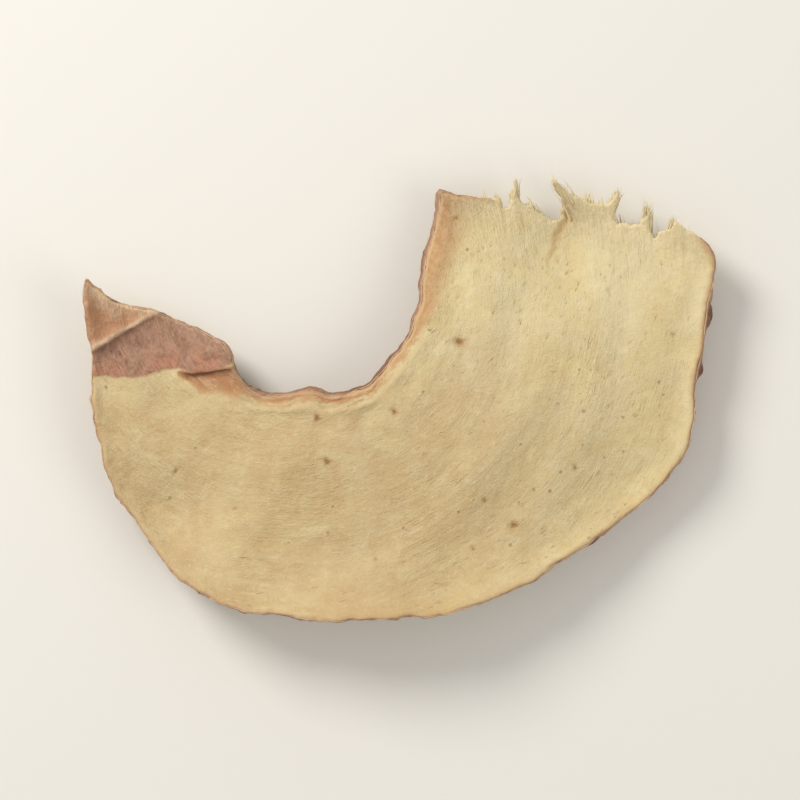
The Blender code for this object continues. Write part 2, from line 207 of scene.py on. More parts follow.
sliceShape = {
    "place": (-0.019, 0.6295),       # of the drawing in the frame
    "thickness": 3.1,
    "tornThickness": 1.5,
    "tornTaper": 7.0,
    "bodyStart": -4.0,
    "bodyFade": 5.0,
    "wallBulge": (0.07, 0.15),       # all round, and more in the bay
    "bulgeWander": (1.9, 0.5),       # spacing, share
    "bulgeTwist": (40, 0.35),        # how the wander shifts from band to band
    "tornWall": (0.42, 0.16, -0.10),     # raggedness of the torn wall: spacing, depth, mean
    # where the skin flares out of the wall: x, y, reach, height
    "flares": [(24.7, 6.2, 1.2, 0.50), (24.0, 1.7, 0.8, 0.40), (15.6, -11.8, 0.7, 0.25)],
    "edgeSharpness": (0.55, 0.75),   # outer edges: share of the drawn roundness kept, in width and in drop
    "backBevel": (0.55, 0.12),
    # x, y, width of the rounded front edge, share of the thickness that it drops
    "outerEdge": [
        (-25.0, 8.9, 0.7, 0.10), (-25.0, 5.9, 0.7, 0.12), (-24.6, 2.8, 0.7, 0.14), (-24.8, -0.6, 0.7, 0.14),
        (-24.2, -3.9, 0.7, 0.14), (-23.0, -8.1, 0.7, 0.14), (-20.8, -10.9, 0.8, 0.16),
        (-18.4, -14.3, 0.8, 0.18), (-14.4, -16.8, 0.9, 0.20), (-8.7, -18.0, 0.9, 0.20),
        (-2.2, -18.2, 0.8, 0.20), (3.9, -17.4, 0.8, 0.18), (9.6, -15.7, 0.7, 0.16),
        (13.7, -13.3, 0.7, 0.14), (17.1, -10.7, 0.6, 0.14), (20.1, -8.4, 0.6, 0.14),
        (22.2, -6.1, 0.6, 0.14), (23.4, -3.8, 0.6, 0.14), (23.9, -1.5, 0.6, 0.14), (23.7, 1.5, 0.6, 0.14),
        (24.3, 3.8, 0.6, 0.14), (24.4, 6.0, 0.6, 0.14), (25.1, 9.0, 0.5, 0.14), (24.9, 11.0, 0.5, 0.14),
        (24.2, 12.3, 0.5, 0.14),
    ],
    "bayEdge": [
        (3.3, 16.1, 0.9, 0.20), (2.7, 13.2, 1.2, 0.30), (2.0, 9.7, 1.2, 0.30), (1.7, 6.9, 1.2, 0.30),
        (1.0, 4.7, 1.2, 0.30), (-0.3, 2.8, 1.2, 0.32), (-1.7, 1.1, 1.3, 0.40), (-3.2, 0.0, 1.4, 0.48),
        (-5.2, -0.3, 1.4, 0.50), (-7.6, 0.1, 1.4, 0.50), (-9.5, -0.3, 1.3, 0.50), (-11.5, -0.2, 1.2, 0.44),
    ],
    "hornEdge": [
        (-12.9, 1.3, 1.0, 0.30), (-13.3, 2.9, 0.7, 0.12), (-14.2, 4.0, 0.7, 0.10), (-17.1, 5.2, 0.7, 0.10),
        (-19.5, 6.3, 0.7, 0.10), (-22.0, 7.0, 0.7, 0.10), (-23.6, 7.8, 0.7, 0.10), (-25.0, 8.9, 0.7, 0.10),
    ],
    # right foot, tip, left foot of each tooth of torn fibre
    "teeth": [
        ((23.5, 12.9), (22.1, 13.8), (20.9, 12.8)),
        ((20.4, 12.5), (19.95, 15.1), (19.4, 13.5)),
        ((17.4, 13.6), (17.6, 16.2), (16.4, 15.0)),
        ((15.4, 15.3), (12.3, 17.1), (13.2, 14.0)),
        ((12.0, 13.9), (10.7, 15.4), (10.1, 15.0)),
        ((9.85, 15.3), (9.25, 17.2), (8.7, 14.8)),
        ((8.35, 14.8), (7.9, 15.9), (7.4, 15.5)),
    ],
    "toothHollow": 0.20,
    "tipWidth": 0.20,
    "toothStep": 0.40,
    "tornEdge": (0.45, 0.16),
    "frayReach": 4.5,
    "tornLine": ((24.0, 12.9), (3.3, 16.0)),
    # ripples: height, turn along x and y, phase
    "tornBend": (((0.10, 1.3, 3.1, 0), (0.04, -2.0, 7.3, 0)), ((0.08, 4.1, 0.7, 0), (0.03, 9.7, 0, 0))),
    "lipRipples": ((0.35, 0.9, 1.7, 0), (0.20, 2.3, -1.1, 0)),
    "floorRipples": ((0.14, 1.9, 0, 0.8), (0.07, 4.7, 0, 0)),
    "faceRipples": ((0.06, 0.8, -0.5, 0),),
    "hornRipples": ((0.2, 1.1, 0, 0),),
    "ringRipples": ((0.10, 1.9, 0.8, 0),),
    "crackRipples": ((0.12, 0, 2.6, 0), (0.04, 0, 8.0, 0)),
    "brownedRipples": (((0.12, 2.3, 0, 1.0),), ((0.25, 1.3, 0, 2.0), (0.12, 3.7, 0, 0))),
    "wrinkles": ((5.0, 0.20), (2.2, 0.13), (1.3, 0.06)),       # spacing, depth
    "fineWrinkles": ((0.9, 0.05), (0.45, 0.035)),
    "lip": (-0.05, 0.32, 0.15),      # distance behind the rounded edge, width, height
    "hollow": (1.1, 0.9, -0.15),
    "bayLip": (0.75, 1.0, 4.0),      # how much lower up the bay, from y, over
    "floorFolds": ((0.26, 0.11, 0.14), (0.48, 0.10, -0.16), (0.70, 0.11, 0.14), (0.95, 0.14, -0.08)),
    "hornLine": ((-26.0, 0.8), (-12.6, 2.1)),
    "hornDrop": 1.65,
    "hornArc": 1.25,
    "hornWrinkle": 0.10,
    "hornFade": 1.2,
    "ringLine": ((-25.0, 3.3), (-19.6, 6.45)),
    "ring": (0.30, 0.26),            # width, height
    "ringEnds": (-0.25, 1.15, 0.15), # shares of its line where its colour begins and ends, and the fade
    "slitLine": ((-17.6, 1.55), (-13.2, 1.95)),
    "slitEnds": (0.22, 0.12),        # shares of its length where it opens and closes
    "slitNarrow": (0.45, 0.35, 0.5), # how much narrower it gets, from which share, over
    "overhang": 0.24,                # of the skin above the slit
    "slitLips": ((0.30, 0.45, 0.20), (-0.34, 0.46, -0.42)),   # place across, width, height
    "crackLine": ((13.5, 14.2), (12.1, 10.6)),
    "crack": (0.38, -0.13),          # width, height
    "crackTaper": 0.75,
    "crackSide": (0.5, 0.3, 0.05),   # the low ridge beside it: place, width, height
    "crackShade": (0.12, 0.25, 0.45, 0.4),       # shift, width at its foot, more at its top, least shade
    # how wide the browned flesh is under the slit, and along the bay's floor
    "browned": (2.5, 0.62),
    "fibreCentre": (-9.0, 9.0),
    "flowRadius": 18.0,              # where the grain's length is true
    "ridges": (0.05, 1.1, 0.3),      # along the fibres: height, turn outwards, turn along x
    "domeReach": (25.0, 17.5),
    "domeFall": 4.0,
    "rimRise": 2.7,
    "rimWave": 0.4,
    "rimWaveTurn": math.radians(100),
    "curls": [
        (-25.0, 8.5, 7.0, 2.2), (-2.0, -19.0, 8.5, 0.8), (3.0, 18.0, 5.0, 0.6),
        (-26.0, -1.0, 5.0, 0.5), (25.5, 4.0, 6.5, 0.7),
    ],
    "buckle": (0.20, 0.43, 2.4, 0.38, 1.2),      # height, turn along x, phase, turn along y, phase
    "feet": [(-18.5, -9.5), (18.0, -7.5), (13.0, 11.4)],
    "footDepth": 0.95,
    "footRadius": 3.4,
    "footSink": 0.10,
    "rootTraces": [(-9.5, -7.5, 1.3), (7.5, -5.0, 1.35), (15.5, 3.5, 1.2)],
    "trace": (0.35, 0.16),           # width and height of its ring
    "traceShade": (0.24, 0.35, 0.3), # width of its ring, share inside it, fade
    # brown pits in the flesh: x, y, radius, depth
    "pits": [
        (4.8, 4.0, 0.30, 0.30), (-0.4, -1.6, 0.24, 0.22), (-6.6, -2.1, 0.26, 0.22),
        (-5.8, -5.6, 0.26, 0.24), (6.8, -8.7, 0.20, 0.18), (9.2, -10.7, 0.30, 0.26),
        (22.0, 4.6, 0.20, 0.14), (4.6, 14.0, 0.22, 0.16), (5.9, 11.0, 0.16, 0.12), (5.9, -12.6, 0.20, 0.16),
        (14.1, -6.1, 0.22, 0.16), (-13.2, -9.4, 0.18, 0.14), (-18.0, -6.4, 0.20, 0.16),
        (16.8, 8.2, 0.15, 0.12), (-1.9, -13.4, 0.18, 0.14), (18.9, -1.9, 0.16, 0.12),
    ],
    "pitRises": ((1.9, 0.20), (1.0, -0.95)),     # swelling, share of the depth: the rim and the hole
    "pitShades": (0.95, 2.0),        # swelling of the brown, and of the halo round it
    # where the grain begins, so that no two sides have the same streaks
    "grainStarts": {"front": 0.0, "back": 90.0, "wall": 200.0},
    "seeds": {
        "wrinkles": 0, "fineWrinkles": 11, "bulge": 5, "tornWall": 60,
        "front": 3, "fine": 4, "back": 8,
    },
    # mesh
    "lineRows": {                    # offsets of the rows of points beside a line, and their step
        "slitLine": (np.arange(-0.7, 0.75, 0.1), 0.14),
        "ringLine": ((-0.6, -0.4, -0.2, -0.1, 0.0, 0.1, 0.2, 0.4), 0.18),
        "crackLine": (np.arange(-0.54, 0.55, 0.09), 0.12),
    },
    "pitRings": ((0.3, 6), (0.6, 10), (0.9, 14), (1.2, 18), (1.6, 20)),   # share of its radius, points
    "rimStep": 0.62,
    "edgeStep": 0.20,
    "steps": {"front": 0.15, "fine": 0.115, "back": 0.30},
    "jitter": 0.12,                  # of a step
    "rings": (0.05, 0.12, 0.20, 0.30, 0.42, 0.56, 0.70),
    "fineZone": (-0.6, -11.0, 2.2, 0.0, 8.0),    # horn: inside, right end; torn edge: inward, left end, foot
    "detailGap": 0.08,               # from the outline to the detail points
    "closest": {"front": 0.07, "back": 0.12},    # two points of a face
    # leaf scars across the skin of the wall: closest and widest spacing, width, seed
    "scars": (2.6, 8.5, 0.17, 7),
    "bands": 10,
}


# a point on a centripetal curve from p1 to p2
def pointBetween(p0, p1, p2, p3, share):
    t1 = max(math.dist(p0[:2], p1[:2]), 1e-6) ** 0.5
    t2 = t1 + math.dist(p1[:2], p2[:2]) ** 0.5
    t3 = t2 + max(math.dist(p2[:2], p3[:2]), 1e-6) ** 0.5
    t = t1 + (t2 - t1) * share
    a1 = p0 + (p1 - p0) * t / t1
    a2 = p1 + (p2 - p1) * (t - t1) / (t2 - t1)
    a3 = p2 + (p3 - p2) * (t - t2) / (t3 - t2)
    b1 = a1 + (a2 - a1) * t / t2
    b2 = a2 + (a3 - a2) * (t - t1) / (t3 - t1)
    return b1 + (b2 - b1) * (t - t1) / (t2 - t1)


def smoothRun(rows, step):
    rows = np.array(rows, dtype=float)
    rows = np.vstack([2 * rows[0] - rows[1], rows, 2 * rows[-1] - rows[-2]])
    points = []
    for p0, p1, p2, p3 in zip(rows, rows[1:], rows[2:], rows[3:]):
        count = max(2, round(math.dist(p1[:2], p2[:2]) / step))
        points += [pointBetween(p0, p1, p2, p3, k / count) for k in range(count)]
    return points


# start, direction and length of a line, given by its ends or its name
def lineParts(line):
    start, end = np.array(sliceShape[line] if isinstance(line, str) else line, dtype=float)
    length = math.dist(start, end)
    return start, (end - start) / length, length


# one side of a tooth, a little hollow
def flank(start, end, hollow):
    start, along, length = lineParts((start, end))
    end = np.array(end)
    middle = (start + end) / 2 + np.array([-along[1], along[0]]) * hollow
    count = max(2, round(length / sliceShape["toothStep"]))
    shares = [k / count for k in range(count)]
    return [start * (1 - t) ** 2 + middle * 2 * t * (1 - t) + end * t * t for t in shares]


def tornRun():
    points = []
    half = sliceShape["tipWidth"] / 2
    for rightFoot, tip, leftFoot in sliceShape["teeth"]:
        hollow = sliceShape["toothHollow"] * math.dist(rightFoot, leftFoot)
        points += flank(rightFoot, (tip[0] + half, tip[1]), hollow)
        points += flank((tip[0] - half, tip[1]), leftFoot, hollow)
        points.append(leftFoot)
    return [np.array([*point, *sliceShape["tornEdge"], 0.0, 0.0, 0.0]) for point in points]


def outwardNormals(loop):
    along = np.roll(loop, -1, axis=0) - np.roll(loop, 1, axis=0)
    along /= np.linalg.norm(along, axis=1)[:, None]
    return np.column_stack([along[:, 1], -along[:, 0]])


def runLength(loop):
    steps = loop[:, :2] - np.roll(loop[:, :2], 1, axis=0)
    return np.cumsum(np.linalg.norm(steps, axis=1))


# moves the skin's part of an outline in and out, by wrinkles of several sizes
def wrinkle(loop, name):
    run = runLength(loop)
    rows = enumerate(sliceShape[name], sliceShape["seeds"][name])
    shift = sum(depth * wander(run, spacing, seed) for seed, (spacing, depth) in rows)
    loop[:, :2] += outwardNormals(loop[:, :2]) * (shift * loop[:, 4])[:, None]


# columns of an outline: x, y, edge width, edge drop, skin, bay, horn
def drawOutline():
    step = sliceShape["rimStep"]
    outer = smoothRun([(*row, 1.0, 0.0, 0.0) for row in sliceShape["outerEdge"]], step)
    bay = [(*row, 1.0, 1.0, 0.0) for row in sliceShape["bayEdge"]]
    horn = [(*row, 1.0, 0.0, 1.0) for row in sliceShape["hornEdge"]]
    rows = np.array(outer + tornRun() + smoothRun(bay + horn, step))
    rows[:, 4:] = np.clip(rows[:, 4:], 0.0, 1.0)
    wrinkle(rows, "wrinkles")
    return rows


# the same outline with close points, and the small raggedness of skin and torn fibre
def refineOutline(rows):
    count = len(rows)
    points = []
    for k in range(count):
        p0, p1, p2, p3 = (rows[(k + step) % count] for step in (-1, 0, 1, 2))
        pieces = max(1, round(math.dist(p1[:2], p2[:2]) / sliceShape["edgeStep"]))
        isSkin = min(p1[4], p2[4]) > 0.5
        for j in range(pieces):
            if isSkin:
                points.append(pointBetween(p0, p1, p2, p3, j / pieces))
            else:
                points.append(p1 + (p2 - p1) * j / pieces)
    fine = np.array(points)
    fine[:, 4:] = np.clip(fine[:, 4:], 0.0, 1.0)
    wrinkle(fine, "fineWrinkles")
    # torn teeth are bent by a field, so that a tooth's two sides move together
    x, y = fine[:, 0].copy(), fine[:, 1].copy()
    for column, bends in enumerate(sliceShape["tornBend"]):
        fine[:, column] += (1 - fine[:, 4]) * ripples(x, y, bends)
    return fine


def inChunks(points, work, size=1500):
    parts = [work(points[k:k + size]) for k in range(0, len(points), size)]
    if isinstance(parts[0], tuple):
        return tuple(np.concatenate(column) for column in zip(*parts))
    return np.concatenate(parts)


# distance from each point to the outline, and the outline's values near it
def edgeDistance(points, loop):
    start = loop[:, :2]
    span = np.roll(loop, -1, axis=0)[:, :2] - start
    size = (span ** 2).sum(1)

    def work(part):
        offset = part[:, None, :] - start[None]
        share = np.clip((offset * span[None]).sum(2) / size, 0.0, 1.0)
        distance = np.linalg.norm(offset - span[None] * share[:, :, None], axis=2)
        weight = 1.0 / (distance + 0.02) ** 5
        return distance.min(1), (weight @ loop[:, 2:]) / weight.sum(1)[:, None]

    return inChunks(points, work)


def isInside(points, loop):
    x0, y0 = loop[:, 0], loop[:, 1]
    x1, y1 = np.roll(x0, -1), np.roll(y0, -1)
    rise = np.where(y1 == y0, 1.0, y1 - y0)

    def work(part):
        px, py = part[:, 0][:, None], part[:, 1][:, None]
        crossings = ((y0 > py) != (y1 > py)) & (px < (x1 - x0) * (py - y0) / rise + x0)
        return crossings.sum(1) % 2 == 1

    return inChunks(points, work)


# signed distance to a line, positive on its left, and the share of the way along it
def lineDistance(x, y, line):
    (x0, y0), (ux, uy), length = lineParts(line)
    along = (x - x0) * ux + (y - y0) * uy
    return (y - y0) * ux - (x - x0) * uy, along / length


def segmentDistance(x, y, line):
    off, share = lineDistance(x, y, line)
    past = np.maximum(np.maximum(-share, share - 1.0), 0.0) * lineParts(line)[2]
    return np.hypot(off, past)


def middleHeight(x, y):
    shape = sliceShape
    reach = (x / shape["domeReach"][0]) ** 2 + (y / shape["domeReach"][1]) ** 2
    wave = 1.0 + shape["rimWave"] * np.cos(2 * (np.arctan2(y, x) - shape["rimWaveTurn"]))
    height = shape["rimRise"] * wave * reach ** 3 - shape["domeFall"] * reach
    for *spot, radius, rise in shape["curls"]:
        height = height + rise * bell(away(x, y, spot), radius)
    for foot in shape["feet"]:
        height = height - shape["footDepth"] * bell(away(x, y, foot), shape["footRadius"])
    rise, turnX, phaseX, turnY, phaseY = shape["buckle"]
    return height + rise * np.sin(turnX * x + phaseX) * np.sin(turnY * y + phaseY)


# 0 at the horn's end of the slice, 1 at the torn end
def bodyShare(x):
    return smoothStep((x - sliceShape["bodyStart"]) / sliceShape["bodyFade"])


def thicknessAt(x, y):
    inward, _ = lineDistance(x, y, "tornLine")
    thinning = (1.0 - smoothStep(inward / sliceShape["tornTaper"])) * bodyShare(x)
    return sliceShape["thickness"] - (sliceShape["thickness"] - sliceShape["tornThickness"]) * thinning


def rounded(distance, width):
    gap = 1.0 - np.clip(distance / width, 0.0, 1.0)
    return np.sqrt(1.0 - gap * gap)


# how far inside the horn's own skin a point lies, less than 0 in the flesh
def hornInside(x, y):
    above, share = lineDistance(x, y, "hornLine")
    return np.where(share < 1.0, above + ripples(x, y, sliceShape["hornRipples"]), -2.0)


def hornRelief(x, y):
    shape = sliceShape
    inner = np.maximum(hornInside(x, y), 0.0)
    corners = [row[:2] for row in shape["hornEdge"]]
    below = np.min([segmentDistance(x, y, line) for line in zip(corners, corners[1:])], axis=0)
    part = below / (below + inner + 1e-6)
    fall = shape["hornDrop"] * (1.0 - np.sin(part * shape["hornArc"]) / math.sin(shape["hornArc"]))
    folds = shape["hornWrinkle"] * np.sin(3.3 * x + 1.3 * y + 0.6 * np.sin(1.4 * y))
    width, height = shape["ring"]
    waver = ripples(x, y, shape["ringRipples"])
    ring = height * bell(segmentDistance(x, y + waver, "ringLine"), width)
    return (folds + ring) * smoothStep(inner / shape["hornFade"]) - fall * (inner > 0.0)


# the share of the slit's opening at a point, and the distance across it
def slitPlace(x, y):
    off, share = lineDistance(x, y, "slitLine")
    left, right = sliceShape["slitEnds"]
    less, start, fade = sliceShape["slitNarrow"]
    narrowing = 1.0 - less * smoothStep((share - start) / fade)
    return smoothStep(share / left) * smoothStep((1.0 - share) / right) * narrowing, off


# how wide the crack gapes beside a point, 1 at its top, and the distance from it
def crackPlace(x, y):
    _, share = lineDistance(x, y, "crackLine")
    gap = segmentDistance(x + ripples(x, y, sliceShape["crackRipples"]), y, "crackLine")
    return 1.0 - sliceShape["crackTaper"] * np.clip(share, 0.0, 1.0), gap


# a pit's share at a point: 1 in its ragged middle
def pitShare(x, y, pit, swell):
    pitX, pitY, radius, _ = pit
    turn = np.arctan2(y - pitY, x - pitX)
    ragged = 1.0 + 0.20 * np.sin(2 * turn + 7 * pitX) + 0.10 * np.sin(3 * turn + 11 * pitY)
    return bell(away(x, y, pit), radius * swell * ragged)


# 1 where the front edge falls off steeply, along the bay's floor
def floorShare(drop):
    return smoothStep((drop - 0.33) / 0.10)


def frontHeight(x, y, distance, values):
    shape = sliceShape
    width, drop, skin, bay, horn = values.T
    keepWidth, keepDrop = shape["edgeSharpness"]
    soft = np.maximum(bay, horn * 0.5)
    edgeWidth = width * (keepWidth + (1 - keepWidth) * soft)
    edgeDrop = drop * (keepDrop + (1 - keepDrop) * soft)
    edge = 0.5 - edgeDrop * (1.0 - rounded(distance, edgeWidth))
    height = middleHeight(x, y) + thicknessAt(x, y) * edge + hornRelief(x, y)
    uneven = 0.75 + ripples(x, y, shape["lipRipples"])
    less, start, fade = shape["bayLip"]
    uneven *= skin * (1 - horn) * (1 - less * bay * smoothStep((y - start) / fade))
    for place, spread, rise in (shape["lip"], shape["hollow"]):
        height += rise * uneven * bell(distance - edgeWidth - place, spread)
    waver = ripples(x, y, shape["floorRipples"])
    for place, spread, rise in shape["floorFolds"]:
        height += rise * floorShare(drop) * bell(distance - place - waver, spread)
    opening, off = slitPlace(x, y)
    for place, spread, rise in shape["slitLips"]:
        height += opening * rise * bell(off - place, spread)
    gape, crackGap = crackPlace(x, y)
    width, rise = shape["crack"]
    height += rise * gape * bell(crackGap, width * gape)
    place, spread, rise = shape["crackSide"]
    height += rise * gape * bell(crackGap - place, spread)
    for swell, rise in shape["pitRises"]:
        height += sum(pit[3] * rise * pitShare(x, y, pit, swell) for pit in shape["pits"])
    rise, turnOut, turnX = shape["ridges"]
    height += rise * np.sin(turnOut * away(x, y, shape["fibreCentre"]) + turnX * x)
    return height + ripples(x, y, shape["faceRipples"])


# distance from the ragged ring of a root trace
def traceDistance(x, y, trace):
    traceX, traceY, radius = trace
    turn = np.arctan2(y - traceY, x - traceX)
    ragged = 1.0 + 0.13 * np.sin(2 * turn + traceX) + 0.06 * np.sin(3 * turn + traceY)
    ragged += 0.03 * np.sin(7 * turn)
    return away(x, y, trace) - radius * ragged


def backHeight(x, y, distance, _):
    width, drop = sliceShape["backBevel"]
    edge = 0.5 - drop * (1.0 - rounded(distance, width))
    height = middleHeight(x, y) - thicknessAt(x, y) * edge
    ringWidth, ringHeight = sliceShape["trace"]
    for trace in sliceShape["rootTraces"]:
        height -= ringHeight * bell(traceDistance(x, y, trace), ringWidth)
    return height


# heights are measured from the plane through the three feet
def restingPlane(loop):
    feet = np.array(sliceShape["feet"])
    heights = backHeight(*feet.T, *edgeDistance(feet, loop)) + sliceShape["footSink"]
    return np.linalg.solve(np.column_stack([np.ones(len(feet)), feet]), heights)


# the fibres run in arcs round their centre: length along the arc, and distance from the centre
def fibreFlow(x, y):
    centreX, centreY = sliceShape["fibreCentre"]
    turn = np.arctan2(x - centreX, centreY - y)
    return sliceShape["flowRadius"] * turn, away(x, y, sliceShape["fibreCentre"])


def fibreDirection(x, y):
    centreX, centreY = sliceShape["fibreCentre"]
    reach = np.maximum(away(x, y, sliceShape["fibreCentre"]), 0.1)
    return flat((centreY - y) / reach, (x - centreX) / reach)


def ringPoints(loop, offset):
    points = loop[:, :2] - outwardNormals(loop[:, :2]) * offset
    distance, _ = edgeDistance(points, loop)
    return points[isInside(points, loop) & (distance > offset * 0.8)]


def fieldPoints(loop, name, zone=None):
    draw = np.random.default_rng(sliceShape["seeds"][name])
    spacing = sliceShape["steps"][name]
    low, high = loop[:, :2].min(0), loop[:, :2].max(0)
    rowStep = spacing * math.sin(math.radians(60))
    rows = np.arange(int((high[1] - low[1]) / rowStep) + 1)
    columns = np.arange(int((high[0] - low[0]) / spacing) + 2)
    row, column = np.meshgrid(rows, columns, indexing="ij")
    points = np.column_stack([
        low[0] + (column + 0.5 * (row % 2)).ravel() * spacing,
        low[1] + row.ravel() * rowStep,
    ])
    jitter = sliceShape["jitter"]
    points += draw.uniform(-jitter, jitter, points.shape) * spacing
    if zone:
        points = points[zone(*points.T)]
    points = points[isInside(points, loop)]
    distance, _ = edgeDistance(points, loop)
    return points[distance > 0.5 * spacing + (0.0 if zone else sliceShape["rings"][-1])]


# where the mesh is finer: the horn's skin, and the torn fibres
def isFineZone(x, y):
    hornIn, hornEnd, tornIn, tornEnd, tornFoot = sliceShape["fineZone"]
    inward, _ = lineDistance(x, y, "tornLine")
    onHorn = (hornInside(x, y) > hornIn) & (x < hornEnd)
    return onHorn | ((inward < tornIn) & (x > tornEnd) & (y > tornFoot))


# points round the pits, and rows of points beside the lines, so that a groove or a ridge is crisp
def detailPoints():
    points = []
    for pitX, pitY, radius, _ in sliceShape["pits"]:
        points.append((pitX, pitY))
        for share, count in sliceShape["pitRings"]:
            reach = radius * share
            turns = [2 * math.pi * (k + share) / count for k in range(count)]
            points += [(pitX + reach * math.cos(turn), pitY + reach * math.sin(turn)) for turn in turns]
    for name, (offsets, step) in sliceShape["lineRows"].items():
        (x0, y0), (ux, uy), length = lineParts(name)
        points += [(x0 + ux * k * step - uy * off, y0 + uy * k * step + ux * off)
                   for off in offsets for k in range(int(length / step) + 1)]
    return np.array(points)


def thinOut(points, closest):
    cells = np.round(points / closest).astype(int)
    _, first = np.unique(cells, axis=0, return_index=True)
    return points[np.sort(first)]


def frontPoints(loop):
    details = detailPoints()
    distance, _ = edgeDistance(details, loop)
    parts = [details[isInside(details, loop) & (distance > sliceShape["detailGap"])]]
    parts += [ringPoints(loop, offset) for offset in sliceShape["rings"]]
    parts.append(fieldPoints(loop, "fine", isFineZone))
    parts.append(fieldPoints(loop, "front"))
    return thinOut(np.vstack(parts), sliceShape["closest"]["front"])


def backPoints(loop):
    parts = [ringPoints(loop, offset) for offset in sliceShape["rings"][1::2]]
    parts.append(fieldPoints(loop, "back"))
    return thinOut(np.vstack(parts), sliceShape["closest"]["back"])


def triangulate(loop, points):
    count = len(loop)
    corners = [Vector(point) for point in np.vstack([loop[:, :2], points])]
    edges = [(k, (k + 1) % count) for k in range(count)]
    result = delaunay_2d_cdt(corners, edges, [], 1, 1e-7)
    return [[result[3][index][0] for index in face] for face in result[2]]


# 1 on the raised rings that old leaves left across the skin
def scarShare(run, depth):
    closest, widest, width, seed = sliceShape["scars"]
    draw = random.Random(seed)
    share = np.zeros(len(run))
    spot = 2.0
    while spot < run.max():
        slant, phase, strength = draw.uniform(-0.35, 0.35), draw.uniform(0, 6), draw.uniform(0.35, 1.0)
        middle = spot + slant * depth + 0.20 * np.sin(2.3 * depth + phase) + 0.06 * np.sin(7.0 * depth)
        share += bell(run - middle, width * draw.uniform(0.7, 1.3)) * strength
        share += bell(run - middle - 0.55 - 0.1 * depth, width * 0.7) * strength * draw.uniform(0.0, 0.5)
        spot += draw.uniform(closest, widest)
    return share


# 1 at the slit and at the bay's floor, 0 where the flesh is no longer browned
def brownedShare(x, y, distance, drop):
    underSlit, alongFloor = sliceShape["browned"]
    start, (endX, endY) = sliceShape["slitLine"]
    off, share = lineDistance(x, y, "slitLine")
    gap = segmentDistance(x, y, (start, (endX + 0.5, endY)))
    slitRipples, floorRipples = sliceShape["brownedRipples"]
    reach = underSlit * smoothStep((share + 0.25) / 0.9) * (1.0 + ripples(x, y, slitRipples)) + 0.05
    below = (1.0 - gap / reach) * smoothStep((0.35 - off) / 0.4)
    width = alongFloor * (1.0 + ripples(x, y, floorRipples))
    floor = (1.0 - distance / width) * floorShare(drop) * smoothStep((-2.6 - x) / 2.2)
    return np.maximum(np.maximum(below, floor), 0.0)


# what the relief and the finish need to know at each point
def describe(x, y, distance, values, isFront):
    shape = sliceShape
    inward, _ = lineDistance(x, y, "tornLine")
    ringOff, ringShare = lineDistance(x, y, "ringLine")
    ringFrom, ringTo, ringFade = shape["ringEnds"]
    ringShow = smoothStep((ringShare - ringFrom) / ringFade)
    ringShow = ringShow * smoothStep((ringTo - ringShare) / ringFade)
    opening, slitOff = slitPlace(x, y)
    shadeX, narrow, wide, least = shape["crackShade"]
    gape, crackGap = crackPlace(x + shadeX, y)
    crackShade = bell(crackGap, narrow + wide * gape) * (least + (1.0 - least) * gape)
    ringWidth, inner, innerFade = shape["traceShade"]
    none = np.zeros(len(x))
    pit, halo, trace = none, none, none
    if isFront:
        brown, pale = shape["pitShades"]
        for each in shape["pits"]:
            strength = min(1.0, each[3] * 4)
            pit = np.maximum(pit, pitShare(x, y, each, brown) * strength)
            halo = np.maximum(halo, pitShare(x, y, each, pale) * strength)
    else:
        for each in shape["rootTraces"]:
            off = traceDistance(x, y, each)
            trace = trace + bell(off, ringWidth) + inner * smoothStep(-off / innerFade)
    u, v = fibreFlow(x, y)
    return {
        "edgeIn": distance,
        "skinEdge": values[:, 2],
        "bayEdge": values[:, 3],
        "hornEdge": values[:, 4],
        "hornIn": hornInside(x, y) if isFront else none - 2.0,
        "ringOff": ringOff,
        "ringShow": ringShow,
        "slitOff": slitOff,
        "slitOpen": opening * isFront,
        "crack": crackShade * isFront,
        "flare": none,
        "browned": brownedShare(x, y, distance, values[:, 1]) * isFront,
        "scar": none,
        "pit": pit,
        "halo": halo,
        "trace": trace,
        "fray": smoothStep(1.0 - inward / shape["frayReach"]) * bodyShare(x),
        "frontSide": none + isFront,
        "along": fibreDirection(x, y),
        "flow": flat(u + shape["grainStarts"]["front" if isFront else "back"], v),
    }


def layFace(points, loop, plane, isFront):
    distance, values = edgeDistance(points, loop)
    x, y = points.T
    heightOf = frontHeight if isFront else backHeight
    height = heightOf(x, y, distance, values) - (plane[0] + plane[1] * x + plane[2] * y)
    spots = np.column_stack([points, np.maximum(height, 0.0)])
    if isFront:
        # the skin above the slit hangs over it
        _, (ux, uy), _ = lineParts("slitLine")
        opening, off = slitPlace(x, y)
        pull = sliceShape["overhang"] * opening
        pull *= smoothStep((0.8 - off) / 0.8) * smoothStep((off + 0.12) / 0.2)
        spots[:, 0] += pull * uy
        spots[:, 1] -= pull * ux
    return spots, describe(x, y, distance, values, isFront)


